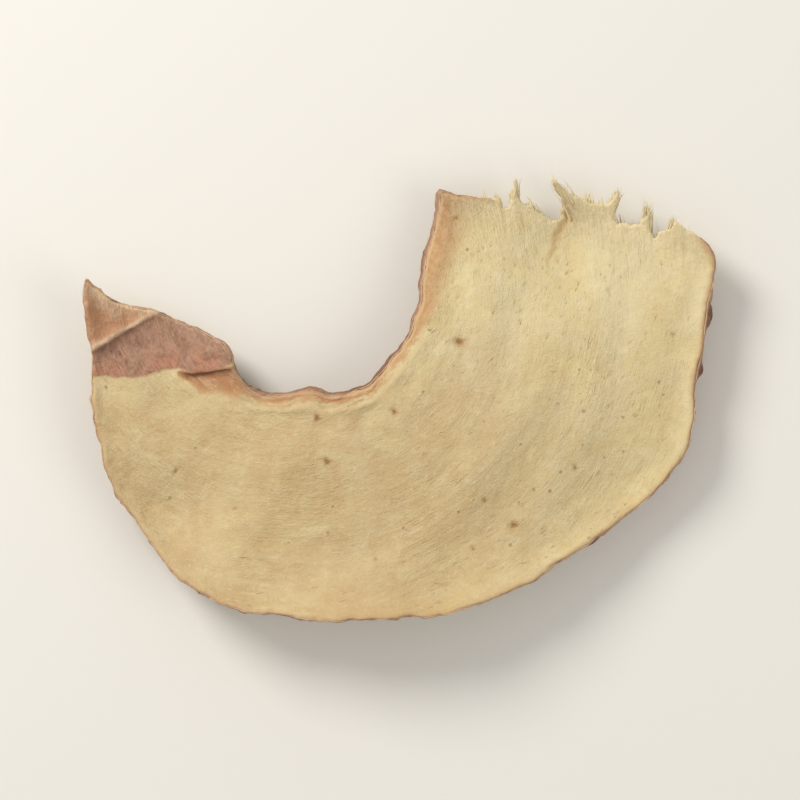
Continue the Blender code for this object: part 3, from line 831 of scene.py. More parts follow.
def buildSlice():
    loop = refineOutline(drawOutline())
    count = len(loop)
    plane = restingPlane(loop)
    frontInner, backInner = frontPoints(loop), backPoints(loop)
    front, frontFacts = layFace(np.vstack([loop[:, :2], frontInner]), loop, plane, 1)
    back, backFacts = layFace(np.vstack([loop[:, :2], backInner]), loop, plane, 0)

    normals = outwardNormals(loop[:, :2])
    run = runLength(loop)
    skin = loop[:, 4]
    bulge = sliceShape["wallBulge"][0] + sliceShape["wallBulge"][1] * loop[:, 5]
    flare = np.zeros(count)
    for *spot, reach, height in sliceShape["flares"]:
        near = bell(away(loop[:, 0], loop[:, 1], spot), reach)
        flare = np.maximum(flare, near)
        bulge += height * near
    spacing, unevenShare = sliceShape["bulgeWander"]
    twist, turn = sliceShape["bulgeTwist"]
    tornSpacing, tornDepth, tornMean = sliceShape["tornWall"]
    seeds = sliceShape["seeds"]
    grainStart = sliceShape["grainStarts"]["wall"]
    blocks, facts, depths = [front], [frontFacts], [np.zeros(count)]
    for band in range(1, sliceShape["bands"]):
        share = band / sliceShape["bands"]
        row = front[:count] * (1 - share) + back[:count] * share
        arch = math.sin(math.pi * share)
        uneven = wander(run + twist * math.sin(band * turn), spacing, seeds["bulge"]) * unevenShare
        swell = bulge * skin * arch * (1.0 + uneven)
        torn = tornDepth * wander(run, tornSpacing, seeds["tornWall"] + band) + tornMean
        swell += torn * (1 - skin) * arch
        row[:, :2] += normals * swell[:, None]
        depth = np.linalg.norm(row - front[:count], axis=1)
        none = np.zeros(count)
        facts.append({
            **{name: value[:count] for name, value in frontFacts.items()},
            "edgeIn": -depth,
            "scar": scarShare(run, depth) * skin,
            "flare": flare * skin * (1.0 - share ** 2),
            "frontSide": none + 1 - share,
            "pit": none,
            "halo": none,
            "flow": flat(run + grainStart, depth),
        })
        blocks.append(row)
        depths.append(depth)
    blocks.append(back)
    facts.append(backFacts)
    depths.append(np.linalg.norm(back[:count] - front[:count], axis=1))
    starts = np.cumsum([0] + [len(block) for block in blocks])

    faces = triangulate(loop, frontInner)
    grain = [frontFacts["flow"][face, :2] for face in faces]
    for band, (upper, lower) in enumerate(zip(starts, starts[1:-1])):
        for k in range(count):
            after = (k + 1) % count
            start = grainStart + run[k]
            runs = start, start + math.dist(loop[k, :2], loop[after, :2])
            a, d = ((runs[1], depths[row][after]) for row in (band, band + 1))
            b, c = ((runs[0], depths[row][k]) for row in (band, band + 1))
            faces += [[upper + after, upper + k, lower + k], [upper + after, lower + k, lower + after]]
            grain += [(a, b, c), (a, c, d)]
    last = starts[-2]
    for a, b, c in triangulate(loop, backInner):
        faces.append([last + c, last + b, last + a])
        grain.append(backFacts["flow"][[c, b, a], :2])

    points = np.vstack(blocks)
    points[:, :2] += sliceShape["place"]
    merged = {name: np.concatenate([fact[name] for fact in facts]) for name in frontFacts}
    edge = {"loop": loop, "normals": normals, "upper": points[:count], "lower": points[last:last + count]}
    return points, faces, np.array(grain), merged, edge


def meshOf(name, points, edges, faces, facts, grain=None):
    mesh = bpy.data.meshes.new(name)
    mesh.from_pydata((points * mm).tolist(), edges, faces)
    if grain is not None:
        uv = mesh.uv_layers.new(name="grain")
        uv.data.foreach_set("uv", grain.astype(np.float32).ravel())
    for key, values in facts.items():
        kind, field = ("FLOAT_VECTOR", "vector") if values.ndim == 2 else ("FLOAT", "value")
        layer = mesh.attributes.new(key, kind, "POINT")
        layer.data.foreach_set(field, values.astype(np.float32).ravel())
    if faces:
        mesh.shade_smooth()
    return mesh


def newObject(name, data):
    thing = bpy.data.objects.new(name, data)
    bpy.context.scene.collection.objects.link(thing)
    return thing


# Growing pieces with Geometry Nodes

# a tree whose inputs are numbers, others as (name, socket kind), and a material;
# the wires of its inputs come back by name
def newTree(name, numbers, *others):
    tree = bpy.data.node_groups.new(name, "GeometryNodeTree")
    tree.is_modifier = True
    inputs = [("Geometry", "Geometry"), *((number, "Float") for number in numbers)]
    for label, kind in [*inputs, *others, ("Finish", "Material")]:
        tree.interface.new_socket(label, in_out="INPUT", socket_type="NodeSocket" + kind)
    tree.interface.new_socket("Geometry", in_out="OUTPUT", socket_type="NodeSocketGeometry")
    board = Board(tree)
    entry = tree.nodes.new("NodeGroupInput")
    return board, {socket.name: Wire(board, socket) for socket in entry.outputs if socket.name}


# every tree ends in realized instances with their material
def closeTree(board, geometry, material):
    plain = board.node("GeometryNodeRealizeInstances", None, {"Geometry": geometry})
    painted = board.node("GeometryNodeSetMaterial", None, {"Geometry": plain, "Material": material})
    board.feed(board.tree.nodes.new("NodeGroupOutput").inputs[0], painted)
    return board


# runs a tree on a mesh, and keeps the plain mesh that comes out as a finished piece
def grow(name, mesh, board, values):
    source = newObject(name + "_source", mesh)
    modifier = source.modifiers.new("growth", "NODES")
    modifier.node_group = board.tree
    for item in board.tree.interface.items_tree:
        if item.in_out == "INPUT" and item.name in values:
            modifier[item.identifier] = values[item.name]
    graph = bpy.context.evaluated_depsgraph_get()
    grown = source.evaluated_get(graph)
    plain = bpy.data.meshes.new_from_object(grown, preserve_all_data_layers=True, depsgraph=graph)
    bpy.data.objects.remove(source)
    plain.name = name
    plain.shade_smooth()
    triangles = sum(len(face.vertices) - 2 for face in plain.polygons)
    print(name, len(plain.vertices), "points", triangles, "triangles")
    return newObject(name, plain)


sliceRelief = {
    "Fibre Height": 0.09,
    "Unevenness": 0.26,
    "Grit Height": 0.08,
    "Knife Height": 0.05,
    "Wrinkle Height": 0.36,
    "Scar Height": 0.13,
    "Fray Height": 0.34,
}


def reliefTree():
    board, ports = newTree("slice_relief", sliceRelief)
    stretch, wave, named = board.stretch, board.wave, board.named
    flow = named("flow", "FLOAT_VECTOR")
    skin = named("skinCover")
    spot = stretch(board.node("GeometryNodeInputPosition"), 1 / mm, 1 / mm, 1 / mm)

    # fibre bundles along the arcs, on an uneven shrunken ground
    patch = 0.5 + board.ease(board.noise(spot, 1.0, 0.5, 0.0, 0.20), 0.36, 0.62)
    flesh = wave(stretch(flow, 0.30, 1.35), 2.0, 0.6, 0.35) * patch * ports["Fibre Height"]
    flesh = flesh + wave(spot, 1.0, 0.5, 0.0, 1.7) * ports["Grit Height"]
    flesh = flesh + wave(stretch(flow, 0.35, 2.7), 2.0, 0.6, 0.25) * named("fray") * ports["Fray Height"]
    flesh = flesh + wave(stretch(flow, 0.20, 0.34), 2.0, 0.5) * ports["Unevenness"]
    flesh = flesh + wave(stretch(spot, 0.9, 0.10, 0.0), 1.0) * ports["Knife Height"]

    # skin wrinkles, deeper where two sizes meet
    broad = wave(stretch(flow, 0.40, 0.95), 2.0, 0.55, 0.9)
    fine = wave(stretch(flow, 1.1, 2.6), 2.0, 0.6, 0.4)
    folds = (broad + fine * 0.5) * ports["Wrinkle Height"] + named("scar") * ports["Scar Height"]

    height = (flesh * (1 - skin) + folds * skin) * (1 - named("hold"))
    lift = board.vector("SCALE", board.node("GeometryNodeInputNormal"), height * mm)
    raised = board.store(board.shift(ports["Geometry"], lift), "relief", height)
    return closeTree(board, raised, ports["Finish"])


# Finish

sliceColours = {
    "flesh": paint(213, 198, 156),
    "fleshWarm": paint(206, 185, 137),
    "fleshYellow": paint(219, 203, 152),
    "fleshTan": paint(190, 160, 114),
    "fleshGold": paint(206, 184, 122),
    "fleshPale": paint(222, 211, 174),
    "torn": paint(232, 214, 170),
    "fleck": paint(182, 146, 98),
    "pit": paint(140, 99, 60),
    "cutEdge": paint(180, 133, 88),
    "crack": paint(196, 158, 102),
    "cutLine": paint(214, 188, 150),
    "browned": paint(186, 140, 98),
    "brown": paint(164, 112, 76),
    "darkBrown": paint(116, 72, 48),
    "umber": paint(90, 54, 42),
    "skin": paint(156, 116, 92),
    "skinDark": paint(104, 70, 53),
    "skinLow": paint(140, 97, 70),
    "skinPink": paint(172, 133, 110),
    "skinRed": paint(180, 126, 99),
    "skinTan": paint(188, 140, 103),
    "skinPale": paint(210, 180, 146),
}


def newMaterial(name):
    material = bpy.data.materials.new(name)
    material.use_nodes = True
    return material, Board(material.node_tree)


# joins up the shader; a bump is a height, its depth in millimetres and its strength
def plug(board, colour, roughness, bump, gloss):
    height, depth, strength = bump
    inputs = {"Height": height, "Distance": depth * mm, "Strength": strength}
    normal = board.node("ShaderNodeBump", None, inputs)
    values = {"Base Color": colour, "Roughness": roughness, "Normal": normal, "Specular IOR Level": gloss}
    for name, value in values.items():
        board.feed(board.tree.nodes["Principled BSDF"].inputs[name], value)


def sliceFinish():
    material, board = newMaterial("dried_slice")
    ease, noise, stretch, fact = board.ease, board.noise, board.stretch, board.attribute
    place = board.place()
    across, up = board.part(place, "x"), board.part(place, "y")
    grain = board.node("ShaderNodeUVMap", {"uv_map": "grain"})
    edgeIn, skinEdge, bayEdge, hornIn = map(fact, ("edgeIn", "skinEdge", "bayEdge", "hornIn"))
    slitOff, relief, fray = map(fact, ("slitOff", "relief", "fray"))

    # warmer clouds, fine fibres along the arcs, a mealy grit between them
    clouds = noise(place, 3.0, 0.6, 0.4, 0.16)
    yellow = noise(place, 4.0, 0.62, 0.5, 0.34)
    blots = noise(place, 3.0, 0.6, 0.4, 0.62)
    meal = noise(place, 3.0, 0.7, 0.0, 2.6)
    streaks = noise(stretch(grain, 0.30, 1.9), 5.0, 0.68, 0.5)
    fibres = noise(stretch(grain, 1.1, 7.5), 3.0, 0.6, 0.3)
    comb = 0.35 + ease(noise(place, 2.0, 0.5, 0.6, 0.22), 0.38, 0.64) * 0.75
    ragged = board.wave(place, 4.0, 0.68, 0.0, 0.75) * 2.0
    # the flesh is tanner below the bay, and more so towards the horn
    uneven = (clouds - 0.5) * 14.0
    tanMask = ease(across + uneven, 24.0, -1.0) * ease(up + uneven, 7.0, -2.0)
    torn = ease(edgeIn + (streaks - 0.5) * 2.0, 1.6, 0.2) * (1 - skinEdge) * fray
    # short brown flecks between the fibres, thicker in patches
    patches = noise(place, 2.0, 0.5, 0.0, 0.11)
    flecks = noise(stretch(grain, 0.75, 5.2), 2.0, 0.55, 0.35)
    fleckMask = ease(flecks, 0.60, 0.76) * ease(patches, 0.38, 0.66)
    dots = board.node("ShaderNodeTexVoronoi", None, {"Vector": place, "Scale": 0.62})
    dotMask = ease(dots + (meal - 0.5) * 0.10, 0.11, 0.05) * ease(patches, 0.45, 0.60)
    crack = fact("crack") + (streaks - 0.5) * 0.5
    trace = fact("trace") + (meal - 0.5) * 1.4 + (streaks - 0.5)
    # the back shows the brown line between the root's rind and its core
    line = board.band(edgeIn + (yellow - 0.5) * 2.2, 2.6, 3.0, 3.05, 3.5)
    line = line * ease(fact("frontSide"), 0.1, 0.0) * ease(meal, 0.32, 0.60)
    # the cut edge browns towards the skin, most of all round the bay, and the torn edge beside it
    reach = 0.55 + ease(up, 2.0, 14.0) * 1.5
    bayTint = ease((edgeIn + ragged * 0.8 + (meal - 0.5) * 1.2) / reach, 1.7, 0.35) * bayEdge
    bayTint = bayTint * (0.65 + ease(meal, 0.35, 0.65) * 0.35)
    tornTint = ease(edgeIn + ragged * 0.4, 0.60, 0.1) * ease(across, 9.0, 6.5) * fray
    bayTint = board.most(bayTint, tornTint * 0.70)
    # its rim is tanner up the right side
    rightRim = ease(across, 21.0, 23.5) * ease(up + ragged * 2.0, -3.0, 3.0)
    rimTint = ease(edgeIn + ragged * 0.45, 0.70, 0.0) * skinEdge
    browned = fact("browned")
    browned = browned + ragged * 0.16 * ease(browned, 0.0, 0.1)
    brownColour = board.coat(
        sliceColours, "browned",
        (browned, 0.25, 0.60, 1.0, "brown"),
        (streaks, 0.50, 0.72, 0.55, "cutLine"),
        (browned, 0.66, 1.0, 0.8, "darkBrown"),
    )
    rough = board.wave(place, 3.0, 0.7, 0.0, 5.0) * 0.9
    colour = board.coat(
        sliceColours, "flesh",
        (clouds, 0.35, 0.70, 1.0, "fleshWarm"),
        (yellow, 0.50, 0.72, 0.65, "fleshYellow"),
        (blots, 0.54, 0.70, 0.34, "fleshPale"),
        (blots, 0.45, 0.30, 0.30, "fleshGold"),
        (tanMask, 0.48 + ease(yellow, 0.60, 0.36) * 0.30, "fleshTan"),
        (streaks, 0.50, 0.80, comb * 0.45, "fleshPale"),
        (streaks, 0.48, 0.18, comb * 0.30, "fleck"),
        (fibres, 0.48, 0.25, comb * 0.16 + fray * 0.20, "fleck"),
        # paler over the torn zone: the torn fibres' own pale colour, and painted light that lifts the shade
        # where the torn end curls away from the lamp
        (fray, 0.34, "torn"),
        (torn, 0.65, "torn"),
        (fibres, 0.55, 0.78, fray * 0.6, "fleshPale"),
        (meal, 0.54, 0.72, 0.30, "fleshPale"),
        (meal, 0.44, 0.26, 0.22, "fleck"),
        (fleckMask, 0.50, "fleck"),
        (dotMask, 0.52, "pit"),
        # painted shade: darker in the hollows of the relief
        (relief, -0.03, -0.16, 0.22, "fleck"),
        (crack, 0.15, 0.85, 0.50, "crack"),
        (trace, 0.25, 1.15, 0.55, "cutEdge"),
        (line, 0.45, "cutEdge"),
        (bayTint, 0.92, "cutEdge"),
        (rimTint, 0.30 + rightRim * 0.40, "cutEdge"),
        (browned, 0.04, 0.34, 0.90, brownColour),
        (fact("halo") + rough * 0.5, 0.10, 0.90, 0.62, "fleck"),
        (fact("pit") + rough, 0.30, 0.75, 0.62, "pit"),
    )

    # skin: brown, streaked along its wrinkles
    blotches = noise(place, 5.0, 0.64, 0.6, 0.42)
    lines = noise(stretch(grain, 0.8, 2.3), 5.0, 0.68, 0.7)
    stria = noise(stretch(grain, 0.7, 8.5), 3.0, 0.6, 0.4)
    nearSlit = ease(slitOff + ragged * 0.5, 2.6, 0.4) * ease(hornIn, 0.0, 0.3)
    redMask = nearSlit * ease(noise(place, 2.0, 0.5, 0.0, 0.30), 0.36, 0.54)
    # paler where the knife has thinned it, along its upper edge
    thinned = ease(edgeIn + ragged * 0.30, -0.75, -0.1) * skinEdge * (1 - ease(hornIn, 0.0, 0.3))
    thinColour = board.coat(sliceColours, "skinTan", (meal, 0.42, 0.62, 1.0, "skinPale"))
    lower = ease(edgeIn + ragged * 0.5, -0.2, -1.2) * skinEdge
    bayShade = bayEdge * (0.40 + ease(across, -6.0, -3.5) * ease(up, 7.0, 3.0))
    scar = fact("scar") + (stria - 0.5) * 0.4 + (meal - 0.5) * 0.8
    # the wall is stained here and there, and darker still where the skin flares
    wallDarkening = ease(noise(place, 2.0, 0.5, 0.4, 0.22), 0.52, 0.70) * ease(edgeIn, 0.0, -0.4)
    wallDarkening = board.most(fact("flare"), wallDarkening * 0.50)
    wallDarkening = wallDarkening + (ragged * 0.35 + (lines - 0.5) * 1.2 + (meal - 0.5) * 0.7) * ease(wallDarkening, 0.0, 0.3)
    # a pale ring round the horn, with a shade under it and tan skin above
    ringShow = fact("ringShow")
    ringWaver = fact("ringOff") + ragged * 0.12
    onTop = ease(edgeIn + ragged * 0.3, -0.9, -0.1)
    aboveRing = ease(ringWaver, -0.1, 0.40) * ease(hornIn, 0.0, 0.5) * onTop
    tanColour = board.coat(sliceColours, "skinTan", (blotches, 0.40, 0.68, 1.0, "skinPale"))
    ringMask = board.band(ringWaver, -0.28, -0.05, 0.05, 0.34) * ringShow * onTop
    ringShade = board.band(ringWaver, -1.6, -0.4, -0.35, -0.12) * ringShow
    skinColour = board.coat(
        sliceColours, "skin",
        (blotches, 0.35, 0.62, 1.0, "skinPink"),
        (redMask, 0.85, "skinRed"),
        (lines, 0.47, 0.28, 0.62, "skinDark"),
        (stria, 0.46, 0.30, 0.12 + ease(blotches, 0.62, 0.40) * 0.30, "skinDark"),
        (stria, 0.56, 0.74, 0.42, "skinPale"),
        # painted shade in the hollows of the wrinkles, and painted highlight on their crests
        (relief, -0.02, -0.12, 0.5, "skinDark"),
        (relief, 0.02, 0.12, 0.45, "skinPale"),
        (thinned, 0.45, thinColour),
        (lower, 0.40, "skinLow"),
        (bayShade, 0.45, "darkBrown"),
        (scar, 0.18, 0.45, 0.22, "skinDark"),
        (scar, 0.45, 0.95, 0.50, "skinPale"),
        (wallDarkening, 0.15, 1.0, 0.78, "umber"),
        (aboveRing, 0.85, tanColour),
        (ringMask, 0.8, "skinPale"),
        (ringShade, 0.15 + ease(across + ragged, -21.0, -23.5) * 0.40, "skinDark"),
    )

    wallMask = ease(edgeIn + ragged * 0.10, 0.16, 0.02) * skinEdge
    skinMask = board.most(wallMask, ease(hornIn + ragged * 0.35, -0.08, 0.22))
    lineMask = ease(edgeIn + ragged * 0.06, 0.0, 0.10) * ease(edgeIn + ragged * 0.08, 0.36, 0.18)
    rimShow = board.most(fact("hornEdge") * (0.35 + aboveRing * 0.65), bayEdge * 0.55)
    # painted shadow: dark brown in the slit under the overhanging skin
    slitShadowMask = ease(slitOff + ragged * 0.25, -0.80, -0.10) * ease(slitOff, 0.12, 0.0) * fact("slitOpen")
    colour = board.coat(
        sliceColours, colour,
        (skinMask, 1.0, skinColour),
        (lineMask * rimShow, 0.8, "cutLine"),
        (slitShadowMask, 0.55, "darkBrown"),
    )

    grit = noise(place, 3.0, 0.7, 0.0, 4.5)
    fleshHeight = (streaks * 0.46 + fibres * 0.38) * comb + grit * 0.42 + meal * 0.32
    fleshHeight = fleshHeight - fleckMask * 0.12 - dotMask * 0.3 + fibres * fray * 0.7
    skinHeight = lines * 0.8 + grit * 0.3 + blotches * 0.3 + stria * 0.5 + scar * 0.5
    height = fleshHeight * (1 - skinMask) + skinHeight * skinMask
    roughness = 0.84 - skinMask * 0.20 + (streaks - 0.5) * 0.12
    plug(board, colour, roughness, (height, 0.24, 0.8), 0.32)
    return material


def settle(piece):
    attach(piece, "root")


def addSlice():
    points, faces, grain, facts, edge = buildSlice()
    horn = smoothStep((facts["hornIn"] + 0.1) / 0.5)
    wall = smoothStep((0.10 - facts["edgeIn"]) / 0.2) * facts["skinEdge"]
    facts["skinCover"] = np.maximum(horn, wall)
    facts["hold"] = 1.0 - smoothStep((points[:, 2] - 0.05) / 0.35)
    mesh = meshOf("dried_slice", points, [], faces, facts, grain)
    piece = grow("dried_slice", mesh, reliefTree(), {**sliceRelief, "Finish": sliceFinish()})
    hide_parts("galangal_slice")
    settle(piece)
    return piece, edge


# Fibres

tornFibres = {
    "Width": 0.058,
    "Bend": 0.55,
    "Spread": 0.16,
    "Chance": 0.50,
    "Seed": 4,
}

# threads that follow each tooth, and the lengths of those between the teeth
tornThreads = {
    "depths": (0.10, 0.34, 0.60, 0.86),
    "share": 0.40,
    "sunk": 0.30,
    "outward": 0.30,
    "fan": 0.22,                     # upward at the top, downward below
    "lengths": (0.40, 1.25),
    "onTooth": 34,
    "toothSunk": 0.12,
    "footSpread": (0.8, 0.12),       # shares: of the tooth's half width, and of its height below its foot
    "tipSpread": (0.10, 0.10),       # share of the half width, and millimetres
    "toothLengths": (0.75, 1.12),
    "lowestShare": 0.08,             # of the tooth's thickness
    # tufts between the teeth, given as the teeth are
    "tufts": [
        ((15.8, 15.1), (15.2, 16.15), (14.3, 15.6)),
        ((19.9, 13.4), (20.05, 15.55), (19.5, 13.6)),
        ((22.6, 13.4), (22.0, 14.15), (21.4, 13.2)),
    ],
}

looseFibres = {
    "Shortest": 0.25,
    "Longest": 0.95,
    "Width": 0.030,
    "Bend": 0.35,
    "Spread": 0.22,
    "Density": 1.1e6,
    "Chance": 1.0,
    "Seed": 9,
}

fibreColours = {
    "root": paint(224, 206, 162),
    "tip": paint(238, 226, 192),
    "brown": paint(194, 160, 110),
}


# thin tapered strands that start on a mesh's points, or are scattered over its cut face
def strandTree(name, scattered, segments, sides):
    numbers = ["Shortest", "Longest", "Width", "Bend", "Spread", "Density", "Chance"]
    board, ports = newTree(name, numbers, ("Seed", "Int"))
    node, maths, named, vector = board.node, board.maths, board.named, board.vector
    seeds, seed = ports["Geometry"], ports["Seed"]

    def chance(step):
        return node("FunctionNodeRandomValue", {"data_type": "FLOAT"}, {"Seed": seed + step}, 1)

    size = named("length")
    if scattered:
        size = ports["Shortest"] + (ports["Longest"] - ports["Shortest"]) * chance(1) ** 2.6
        upward = maths("GREATER_THAN", named("frontSide"), 0.9)
        bare = maths("LESS_THAN", named("skinCover"), 0.05)
        clear = maths("GREATER_THAN", named("edgeIn"), 0.35)
        seeds = node("GeometryNodeDistributePointsOnFaces", None, {
            "Mesh": seeds, "Selection": upward * bare * clear, "Density": ports["Density"], "Seed": seed})
    jitter = node("FunctionNodeRandomValue", {"data_type": "FLOAT_VECTOR"},
                  {"Min": (-1, -1, -0.6), "Max": (1, 1, 1), "Seed": seed})
    aim = vector("ADD", named("along", "FLOAT_VECTOR"), vector("SCALE", jitter, ports["Spread"]))
    turn = node("FunctionNodeAlignRotationToVector", {"axis": "Z"}, {"Vector": aim})
    marked = board.store(seeds, "girth", 0.50 + chance(2) ** 3.0 * 1.5)
    chosen = maths("LESS_THAN", chance(3), ports["Chance"])

    line = node("GeometryNodeCurvePrimitiveLine", None, {"Start": (0, 0, 0), "End": (0, 0, mm)})
    line = node("GeometryNodeResampleCurve", None, {"Curve": line, "Count": segments + 1})
    strands = node("GeometryNodeInstanceOnPoints", None, {
        "Points": marked, "Selection": chosen, "Instance": line, "Rotation": turn, "Scale": size})
    strands = node("GeometryNodeRealizeInstances", None, {"Geometry": strands})

    factor = node("GeometryNodeSplineParameter")
    spot = node("GeometryNodeInputPosition")
    sway = node("ShaderNodeTexNoise", None, {"Vector": spot, "Scale": 700.0, "Detail": 1.0}, 1)
    sway = vector("SUBTRACT", sway, (0.5, 0.5, 0.5))
    bend = vector("SCALE", sway, factor ** 1.5 * ports["Bend"] * mm * 2)
    strands = board.store(board.shift(strands, bend), "tip", factor)
    width = named("girth") * ports["Width"] * (1 - factor ** 1.4 * 0.88)
    return closeTree(board, board.sweep(strands, sides, width), ports["Finish"])


def fibreFinish():
    material, board = newMaterial("fibre")
    place = board.place()
    grainy = board.noise(place, 3.0, 0.6, 0.0, 6.0)
    colour = board.coat(
        fibreColours, "root",
        (board.attribute("tip"), 1.0, "tip"),
        (board.noise(place, 2.0, 0.5, 0.0, 1.3), 0.52, 0.74, 0.55, "brown"),
    )
    plug(board, colour, 0.72 + (grainy - 0.5) * 0.2, (grainy, 0.03, 0.6), 0.35)
    return material


# heights of the slice's front and back at the edge point nearest to a spot
def edgeLevels(edge, spot):
    nearest = np.argmin(away(*edge["loop"][:, :2].T, spot))
    return np.array([edge["upper"][nearest, 2], edge["lower"][nearest, 2]])


# threads start at several depths of the torn edge, and run up through each tooth to its tip
def addTornFibres(edge, finish):
    loop, threads = edge["loop"], tornThreads
    draw = np.random.default_rng(tornFibres["Seed"])
    torn = np.where(loop[:, 4] < 0.3)[0]
    direction = fibreDirection(*loop[torn, :2].T)
    outward = flat(*edge["normals"][torn].T)
    low, high = threads["lengths"]
    spots, aims, lengths = [], [], []
    for depth in threads["depths"]:
        row = edge["upper"][torn] * (1 - depth) + edge["lower"][torn] * depth
        aim = direction + outward * threads["outward"] + np.array([0.0, 0.0, threads["fan"] * (0.5 - depth)])
        aim /= np.linalg.norm(aim, axis=1)[:, None]
        picked = draw.random(len(torn)) < threads["share"]
        spots.append((row - aim * threads["sunk"])[picked])
        aims.append(aim[picked])
        lengths.append(low + (high - low) * draw.random(picked.sum()) ** 2.5)
    count = threads["onTooth"]
    footWidth, footBelow = threads["footSpread"]
    tipWidth, tipStray = threads["tipSpread"]
    for rightFoot, tip, leftFoot in sliceShape["teeth"] + threads["tufts"]:
        right, tip, left = np.array([rightFoot, tip, leftFoot])
        middle, half = (right + left) / 2, (right - left) / 2
        tipTop, tipUnder = edgeLevels(edge, tip)
        footTop, footUnder = (edgeLevels(edge, right) + edgeLevels(edge, left)) / 2
        side = draw.uniform(-1, 1, count)[:, None]
        start = middle + half * side * footWidth - (tip - middle) * footBelow
        end = tip + half * side * tipWidth + draw.normal(0, tipStray, (count, 2))
        share = draw.uniform(threads["lowestShare"], 1.0, count)
        startLevel = footUnder + (footTop - footUnder) * share - threads["toothSunk"]
        endLevel = tipUnder + (tipTop - tipUnder) * share
        reach = np.column_stack([end - start, endLevel - startLevel])
        span = np.linalg.norm(reach, axis=1)
        spots.append(np.column_stack([start + sliceShape["place"], startLevel]))
        aims.append(reach / span[:, None])
        lengths.append(span * draw.uniform(*threads["toothLengths"], count))
    facts = {"along": np.vstack(aims), "length": np.concatenate(lengths)}
    seeds = meshOf("torn_seeds", np.vstack(spots), [], [], facts)
    board = strandTree("torn_strands", False, 6, 4)
    settle(grow("torn_fibres", seeds, board, {**tornFibres, "Finish": finish}))


def addLooseFibres(slicePiece, finish):
    board = strandTree("loose_strands", True, 3, 3)
    settle(grow("loose_fibres", slicePiece.data, board, {**looseFibres, "Finish": finish}))


# Skin edge

skinEdgeShape = {
    "Width": 0.05,
    "Height": 0.34,
    "Sunk": 0.45,
    "Lean": 0.16,
}

# how high the skin stands along the cut
skinEdgeRise = {
    "rim": 0.62,
    "bay": 0.50,                     # added in the bay
    "aboveRing": 0.28,
    "belowRing": 0.08,
    "endFade": 6.0,                  # points
    "corner": (2.2, -0.9),           # at the top of the bay: width, share added
    "nub": (0.42, 0.9),              # at its bend: width, rise
    "sunk": 0.02,
}

skinEdgeColours = {
    "low": paint(178, 136, 104),
    "high": paint(212, 178, 140),
    "dark": paint(140, 100, 74),
}


# a thin ragged skin that stands up along the cut
def skinEdgeTree():
    board, ports = newTree("skin_edge", skinEdgeShape)
    ease, noise = board.ease, board.noise
    spot = board.node("GeometryNodeInputPosition")
    level = board.part(spot, "z")
    path = board.node("GeometryNodeMeshToCurve", None, {"Mesh": ports["Geometry"]})
    path = board.node("GeometryNodeSetCurveNormal", {"mode": "Z_UP"}, {"Curve": path})
    swept = board.sweep(board.store(path, "baseZ", level), 8, ports["Width"])

    local = (level - board.named("baseZ")) / (ports["Width"] * mm)
    above = board.most(local, 0.0)
    below = board.most(local * -1.0, 0.0)
    fine = noise(spot, 3.0, 0.7, 0.0, 1900.0)
    ragged = ease(noise(spot, 2.0, 0.5, 0.0, 420.0), 0.36, 0.68) * 0.75 + ease(fine, 0.35, 0.75) * 0.45
    rise = above * ragged * board.named("rise") * ports["Height"]
    lean = (fine - 0.55) * rise * ports["Lean"] * mm * 6
    lean = board.vector("SCALE", board.named("outward", "FLOAT_VECTOR"), lean)
    upward = board.node("ShaderNodeCombineXYZ", None, {"Z": (rise - below * ports["Sunk"]) * mm})
    moved = board.shift(swept, board.vector("ADD", lean, upward))
    return closeTree(board, board.store(moved, "risen", above * ragged), ports["Finish"])


def skinEdgeFinish():
    material, board = newMaterial("skin_edge")
    place = board.place()
    grainy = board.noise(place, 3.0, 0.6, 0.0, 5.0)
    colour = board.coat(
        skinEdgeColours, "low",
        (board.attribute("risen"), 1.0, "high"),
        (board.noise(place, 4.0, 0.65, 0.4, 0.9), 0.50, 0.66, 0.7, "dark"),
    )
    plug(board, colour, 0.66 + (grainy - 0.5) * 0.2, (grainy, 0.05, 0.7), 0.35)
    return material


def addSkinEdge(edge):
    loop, shape = edge["loop"], skinEdgeRise
    torn = np.where(loop[:, 4] < 0.5)[0]
    count = len(loop) - len(torn)
    order = (torn[-1] + 1 + np.arange(count)) % len(loop)
    normals = edge["normals"][order]
    x, y, _, _, _, bay, horn = loop[order].T
    spots = edge["upper"][order].copy()
    spots[:, :2] -= normals * shape["sunk"]
    ringOff, _ = lineDistance(x, y, "ringLine")
    onHorn = np.where(ringOff > 0, shape["aboveRing"], shape["belowRing"])
    rise = np.where(horn > 0.5, onHorn, shape["rim"] + shape["bay"] * bay)
    rise *= smoothStep(np.minimum(np.arange(count), np.arange(count)[::-1]) / shape["endFade"])
    cornerWidth, cornerShare = shape["corner"]
    rise *= 1.0 + cornerShare * bell(away(x, y, sliceShape["bayEdge"][0]), cornerWidth)
    nubWidth, nubRise = shape["nub"]
    rise += nubRise * bell(away(x, y, sliceShape["bayEdge"][5]), nubWidth)
    edges = [(k, k + 1) for k in range(count - 1)]
    path = meshOf("skin_path", spots, edges, [], {"rise": rise, "outward": flat(*normals.T)})
    settle(grow("skin_edge", path, skinEdgeTree(), {**skinEdgeShape, "Finish": skinEdgeFinish()}))


# Studio

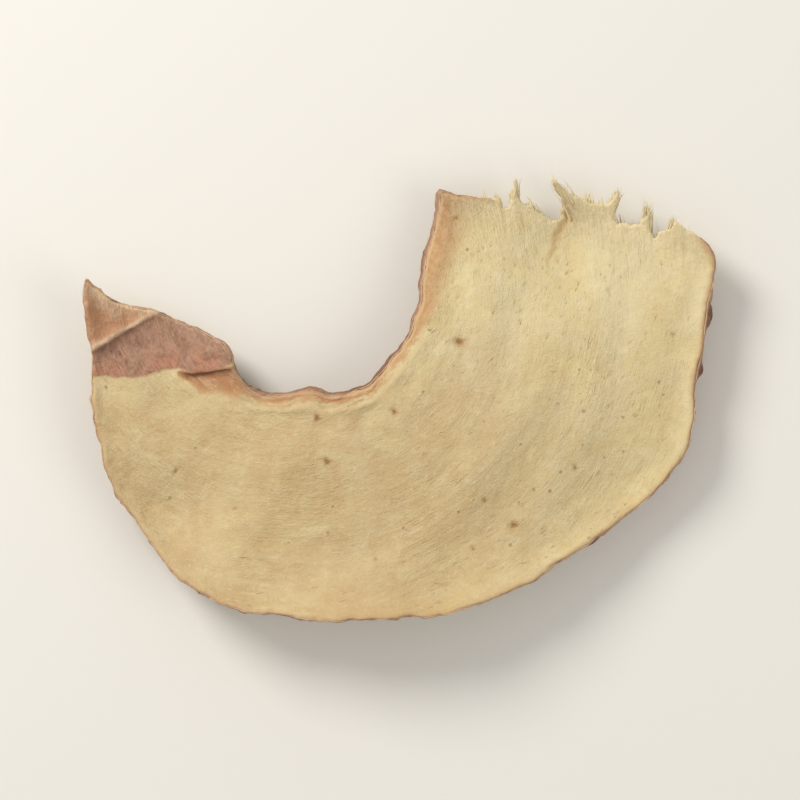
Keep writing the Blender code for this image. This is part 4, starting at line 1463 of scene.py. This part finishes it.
studio = {
    "floorSize": 1.6,
    "floorDrop": 0.00002,
    "floorColour": paint(226, 223, 216),
    "lens": 200.0,
    "height": 0.361,
    # spot, size, power, colour
    "lamps": {
        "key": ((-0.20, 0.20, 0.22), 0.16, 0.98, (1.0, 0.975, 0.94)),
        "fill": ((0.30, -0.12, 0.30), 0.30, 0.40, (1.0, 0.98, 0.95)),
    },
    "worldColour": (1.0, 0.985, 0.96, 1.0),
    "worldStrength": 0.56,
}


def addFloor():
    half = studio["floorSize"] / 2
    drop = -studio["floorDrop"]
    corners = [(-half, -half, drop), (half, -half, drop), (half, half, drop), (-half, half, drop)]
    mesh = bpy.data.meshes.new("floor")
    mesh.from_pydata(corners, [], [(0, 1, 2, 3)])
    material, board = newMaterial("floor_card")
    tooth = board.noise(board.node("ShaderNodeTexCoord", None, None, 3), 3.0, 0.6, 0.0, 900.0)
    plug(board, studio["floorColour"], 0.75, (tooth, 0.02, 0.3), 0.5)
    mesh.materials.append(material)
    floor = newObject("floor", mesh)


def addLamp(name, spot, size, power, colour):
    lamp = bpy.data.lights.new(name, "AREA")
    lamp.shape = "DISK"
    lamp.size = size
    lamp.energy = power
    lamp.color = colour
    holder = newObject(name, lamp)
    holder.location = spot
    holder.rotation_euler = (-Vector(spot)).to_track_quat("-Z", "Y").to_euler()


def addStudio():
    scene = bpy.context.scene
    addFloor()
    for name, lamp in studio["lamps"].items():
        addLamp(name, *lamp)
    world = bpy.data.worlds.new("studio")
    world.use_nodes = True
    background = world.node_tree.nodes["Background"]
    background.inputs["Color"].default_value = studio["worldColour"]
    background.inputs["Strength"].default_value = studio["worldStrength"]
    scene.world = world
    scene.view_settings.view_transform = "Standard"

    lens = bpy.data.cameras.new("camera")
    lens.lens = studio["lens"]
    lens.clip_start = 0.005
    camera = newObject("camera", lens)
    camera.location = (0.0, 0.0, studio["height"])
    scene.camera = camera


driedSlice, sliceEdge = addSlice()
print("slice made")
fibre = fibreFinish()
addTornFibres(sliceEdge, fibre)
addLooseFibres(driedSlice, fibre)
addSkinEdge(sliceEdge)
print("fibres and skin edge made")
addStudio()
print("studio made")
